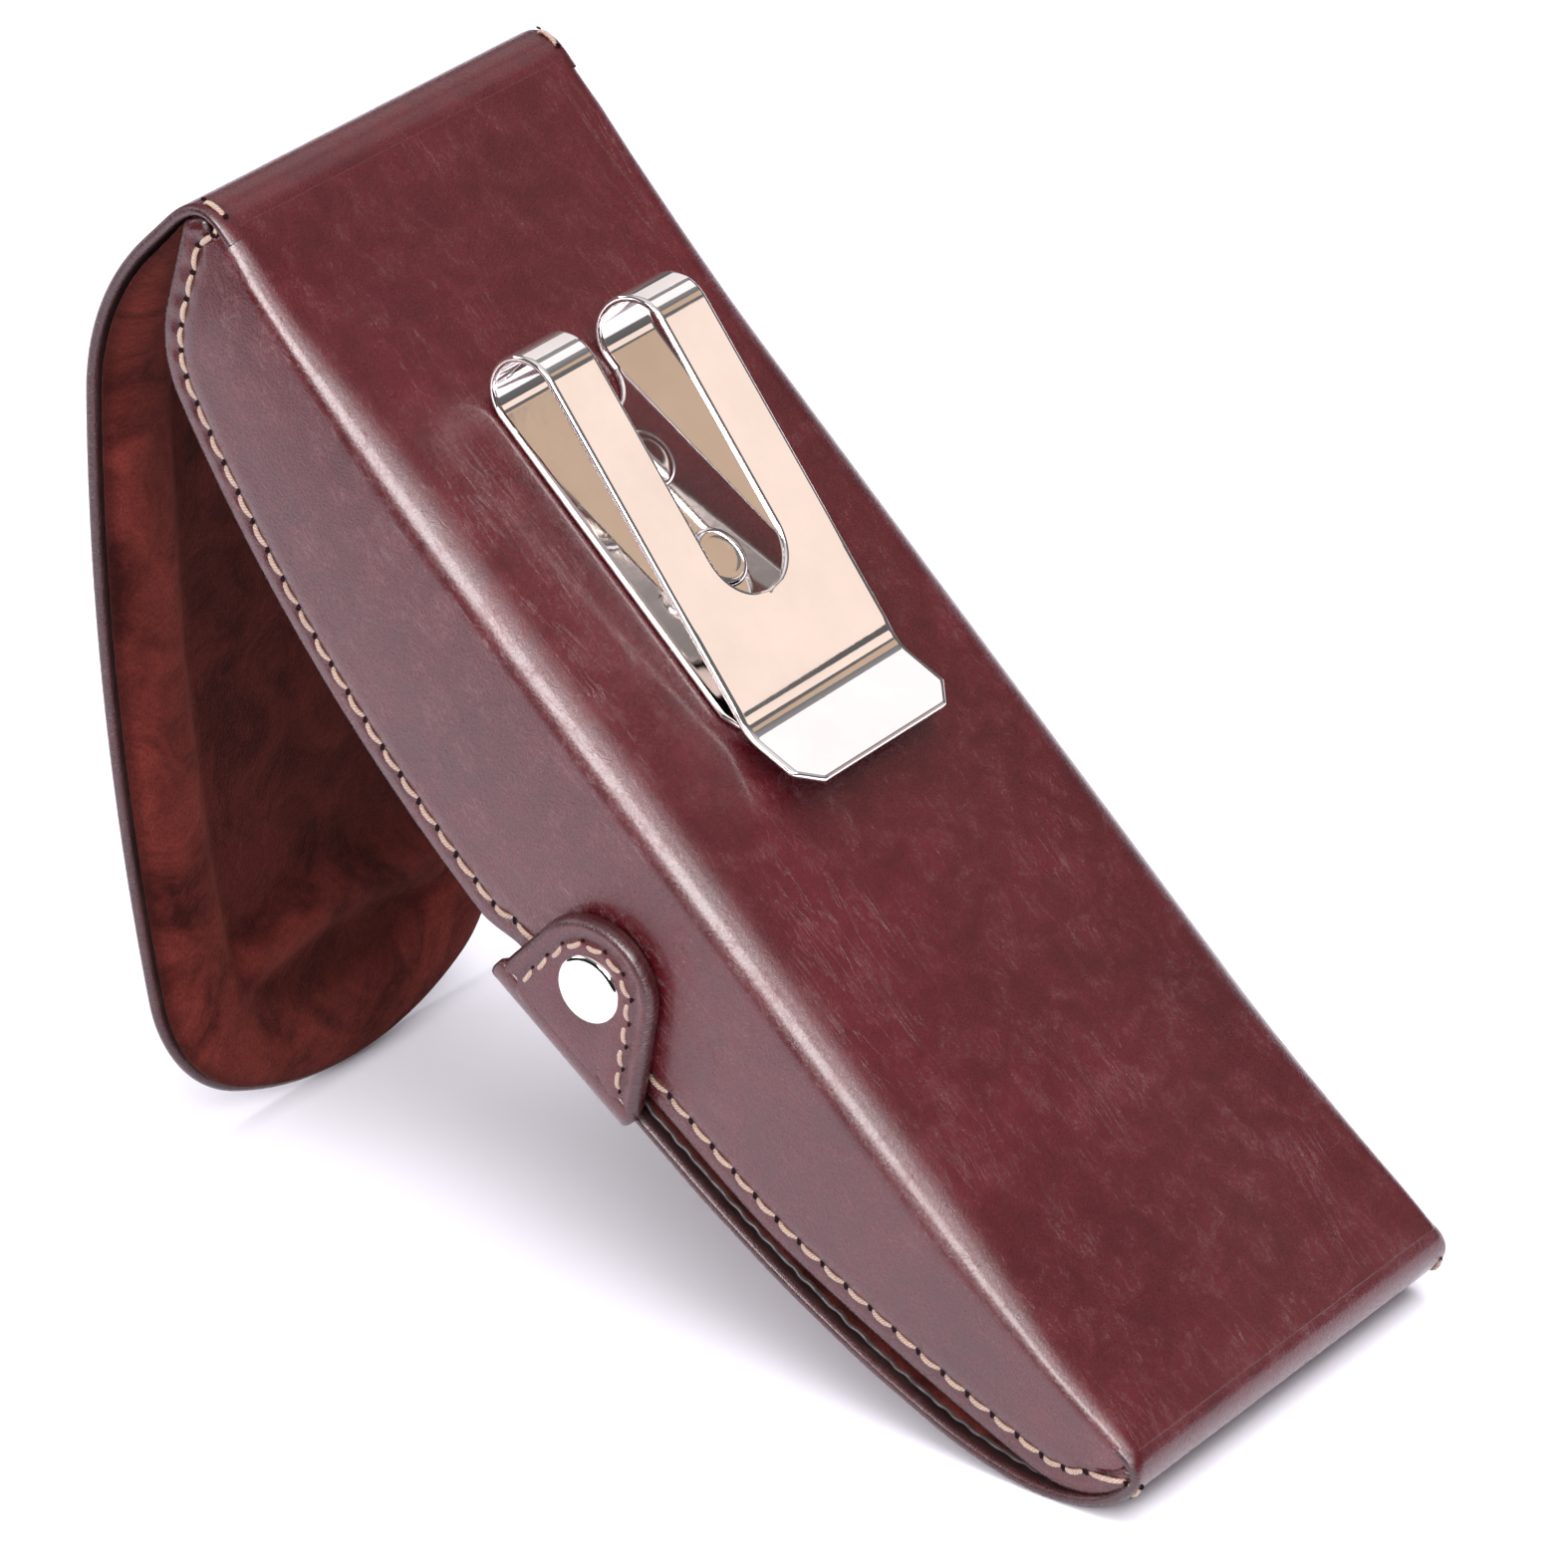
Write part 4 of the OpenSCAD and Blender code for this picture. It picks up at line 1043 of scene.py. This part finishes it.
# ---------------------------------------------------------------- floor, light and camera
def area_light(name, way, distance, size, radiance, tint, target=(0, 0, 0.05)):
    """A soft panel seen from the object in the given direction."""
    light = bpy.data.lights.new(name, "AREA")
    light.shape = "RECTANGLE"
    light.size, light.size_y = size
    light.energy = radiance * size[0] * size[1] * math.pi
    light.color = tint
    obj = bpy.data.objects.new(name, light)
    way = Vector(way).normalized()
    obj.location = Vector(target) + way * distance
    obj.rotation_mode = "QUATERNION"
    obj.rotation_quaternion = way.to_track_quat("Z", "Y")
    bpy.context.scene.collection.objects.link(obj)
    return obj


floor_mesh = bpy.data.meshes.new("floor")
span = 3.0
floor_mesh.from_pydata([(-span, -span, 0), (span, -span, 0), (span, span, 0), (-span, span, 0)], [], [(0, 1, 2, 3)])
floor = bpy.data.objects.new("floor", floor_mesh)
bpy.context.scene.collection.objects.link(floor)
paper = plain("paper_floor", colour(0.90, 0.90, 0.97), 0.8, 12, 0.02, 0.00001)
floor_mesh.materials.append(paper)

card_mesh = bpy.data.meshes.new("dark_card")
card_mesh.from_pydata([(-0.9, -0.21, 0), (0.5, -0.21, 0), (0.5, -0.21, 0.105), (-0.9, -0.21, 0.105)], [], [(0, 1, 2, 3)])
card = bpy.data.objects.new("dark_card", card_mesh)
bpy.context.scene.collection.objects.link(card)
card_mesh.materials.append(plain("black_card", colour(0.01, 0.009, 0.01), 0.9, 60, 0.3))
card.visible_camera = card.visible_diffuse = card.visible_shadow = card.visible_transmission = False

sky = bpy.data.worlds.new("studio")
sky.use_nodes = True
tree = sky.node_tree
tree.nodes.clear()
out = tree.nodes.new("ShaderNodeOutputWorld")
back = tree.nodes.new("ShaderNodeBackground")
where = tree.nodes.new("ShaderNodeTexCoord")
split = tree.nodes.new("ShaderNodeSeparateXYZ")
tree.links.new(where.outputs["Generated"], split.inputs[0])
fade = tree.nodes.new("ShaderNodeValToRGB")
tree.links.new(split.outputs["Z"], fade.inputs[0])
SKY = ((0.0, 0.16), (0.3, 0.12), (0.6, 0.16), (0.85, 0.6), (1.0, 1.0))
for k, (place, light) in enumerate(SKY):
    stop = fade.color_ramp.elements[k] if k < 2 else fade.color_ramp.elements.new(place)
    stop.position = place
    stop.color = (light, light * 0.97, light, 1)
tree.links.new(fade.outputs[0], back.inputs["Color"])
back.inputs["Strength"].default_value = 1.0
tree.links.new(back.outputs[0], out.inputs[0])
bpy.context.scene.world = sky

area_light("window_low", (0.21, -0.89, 0.405), 1.5, (1.0, 0.70), 6.5, (1.0, 0.965, 0.975))
glow = area_light("window_glow", (0.235, -0.875, 0.42), 1.52, (0.95, 0.52), 17.0, (1.0, 0.965, 0.975))
glow.visible_diffuse = False
area_light("window_mid", (0.499, -0.568, 0.655), 1.5, (0.80, 0.50), 6.5, (1.0, 0.965, 0.975))
area_light("window_high", (0.60, -0.25, 0.76), 1.5, (0.70, 0.50), 2.6, (1.0, 0.965, 0.975))
area_light("front_fill", (-0.80, -0.45, 0.40), 1.6, (0.9, 0.7), 3.0, (1.0, 0.97, 0.98))
area_light("warm_wall", (0.575, 0.709, 0.406), 1.6, (0.40, 0.30), 0.94, (1.0, 0.81, 0.70))
area_light("back_panel", (0.02, 0.709, 0.72), 1.5, (0.42, 0.42), 0.88, (1.0, 0.93, 0.94))
area_light("amber_wall", (0.36, 0.75, 0.56), 1.9, (0.34, 0.30), 0.46, (1.0, 0.66, 0.40))
area_light("side_panel", (-0.45, 0.709, 0.52), 1.6, (0.70, 0.62), 0.80, (1.0, 0.93, 0.93))
top_light = area_light("ceiling", (0.1, 0.0, 1.0), 2.2, (2.4, 2.4), 3.9, (1.0, 0.98, 1.0))
top_light.visible_glossy = False

AZIMUTH, ELEVATION, DISTANCE = math.radians(36.66), math.radians(27.89), 0.9598
TARGET = Vector((0.0018, 0.0005, 0.0538))
camera = bpy.data.cameras.new("camera")
camera.sensor_width = 36.0
camera.lens = 205.84
camera_obj = bpy.data.objects.new("camera", camera)
away = Vector((math.sin(AZIMUTH) * math.cos(ELEVATION), -math.cos(AZIMUTH) * math.cos(ELEVATION), math.sin(ELEVATION)))
camera_obj.location = TARGET + away * DISTANCE
camera_obj.rotation_mode = "QUATERNION"
camera_obj.rotation_quaternion = away.to_track_quat("Z", "Y")
camera.clip_start, camera.clip_end = 0.01, 20
bpy.context.scene.collection.objects.link(camera_obj)
bpy.context.scene.camera = camera_obj
bpy.context.scene.view_settings.view_transform = "Standard"
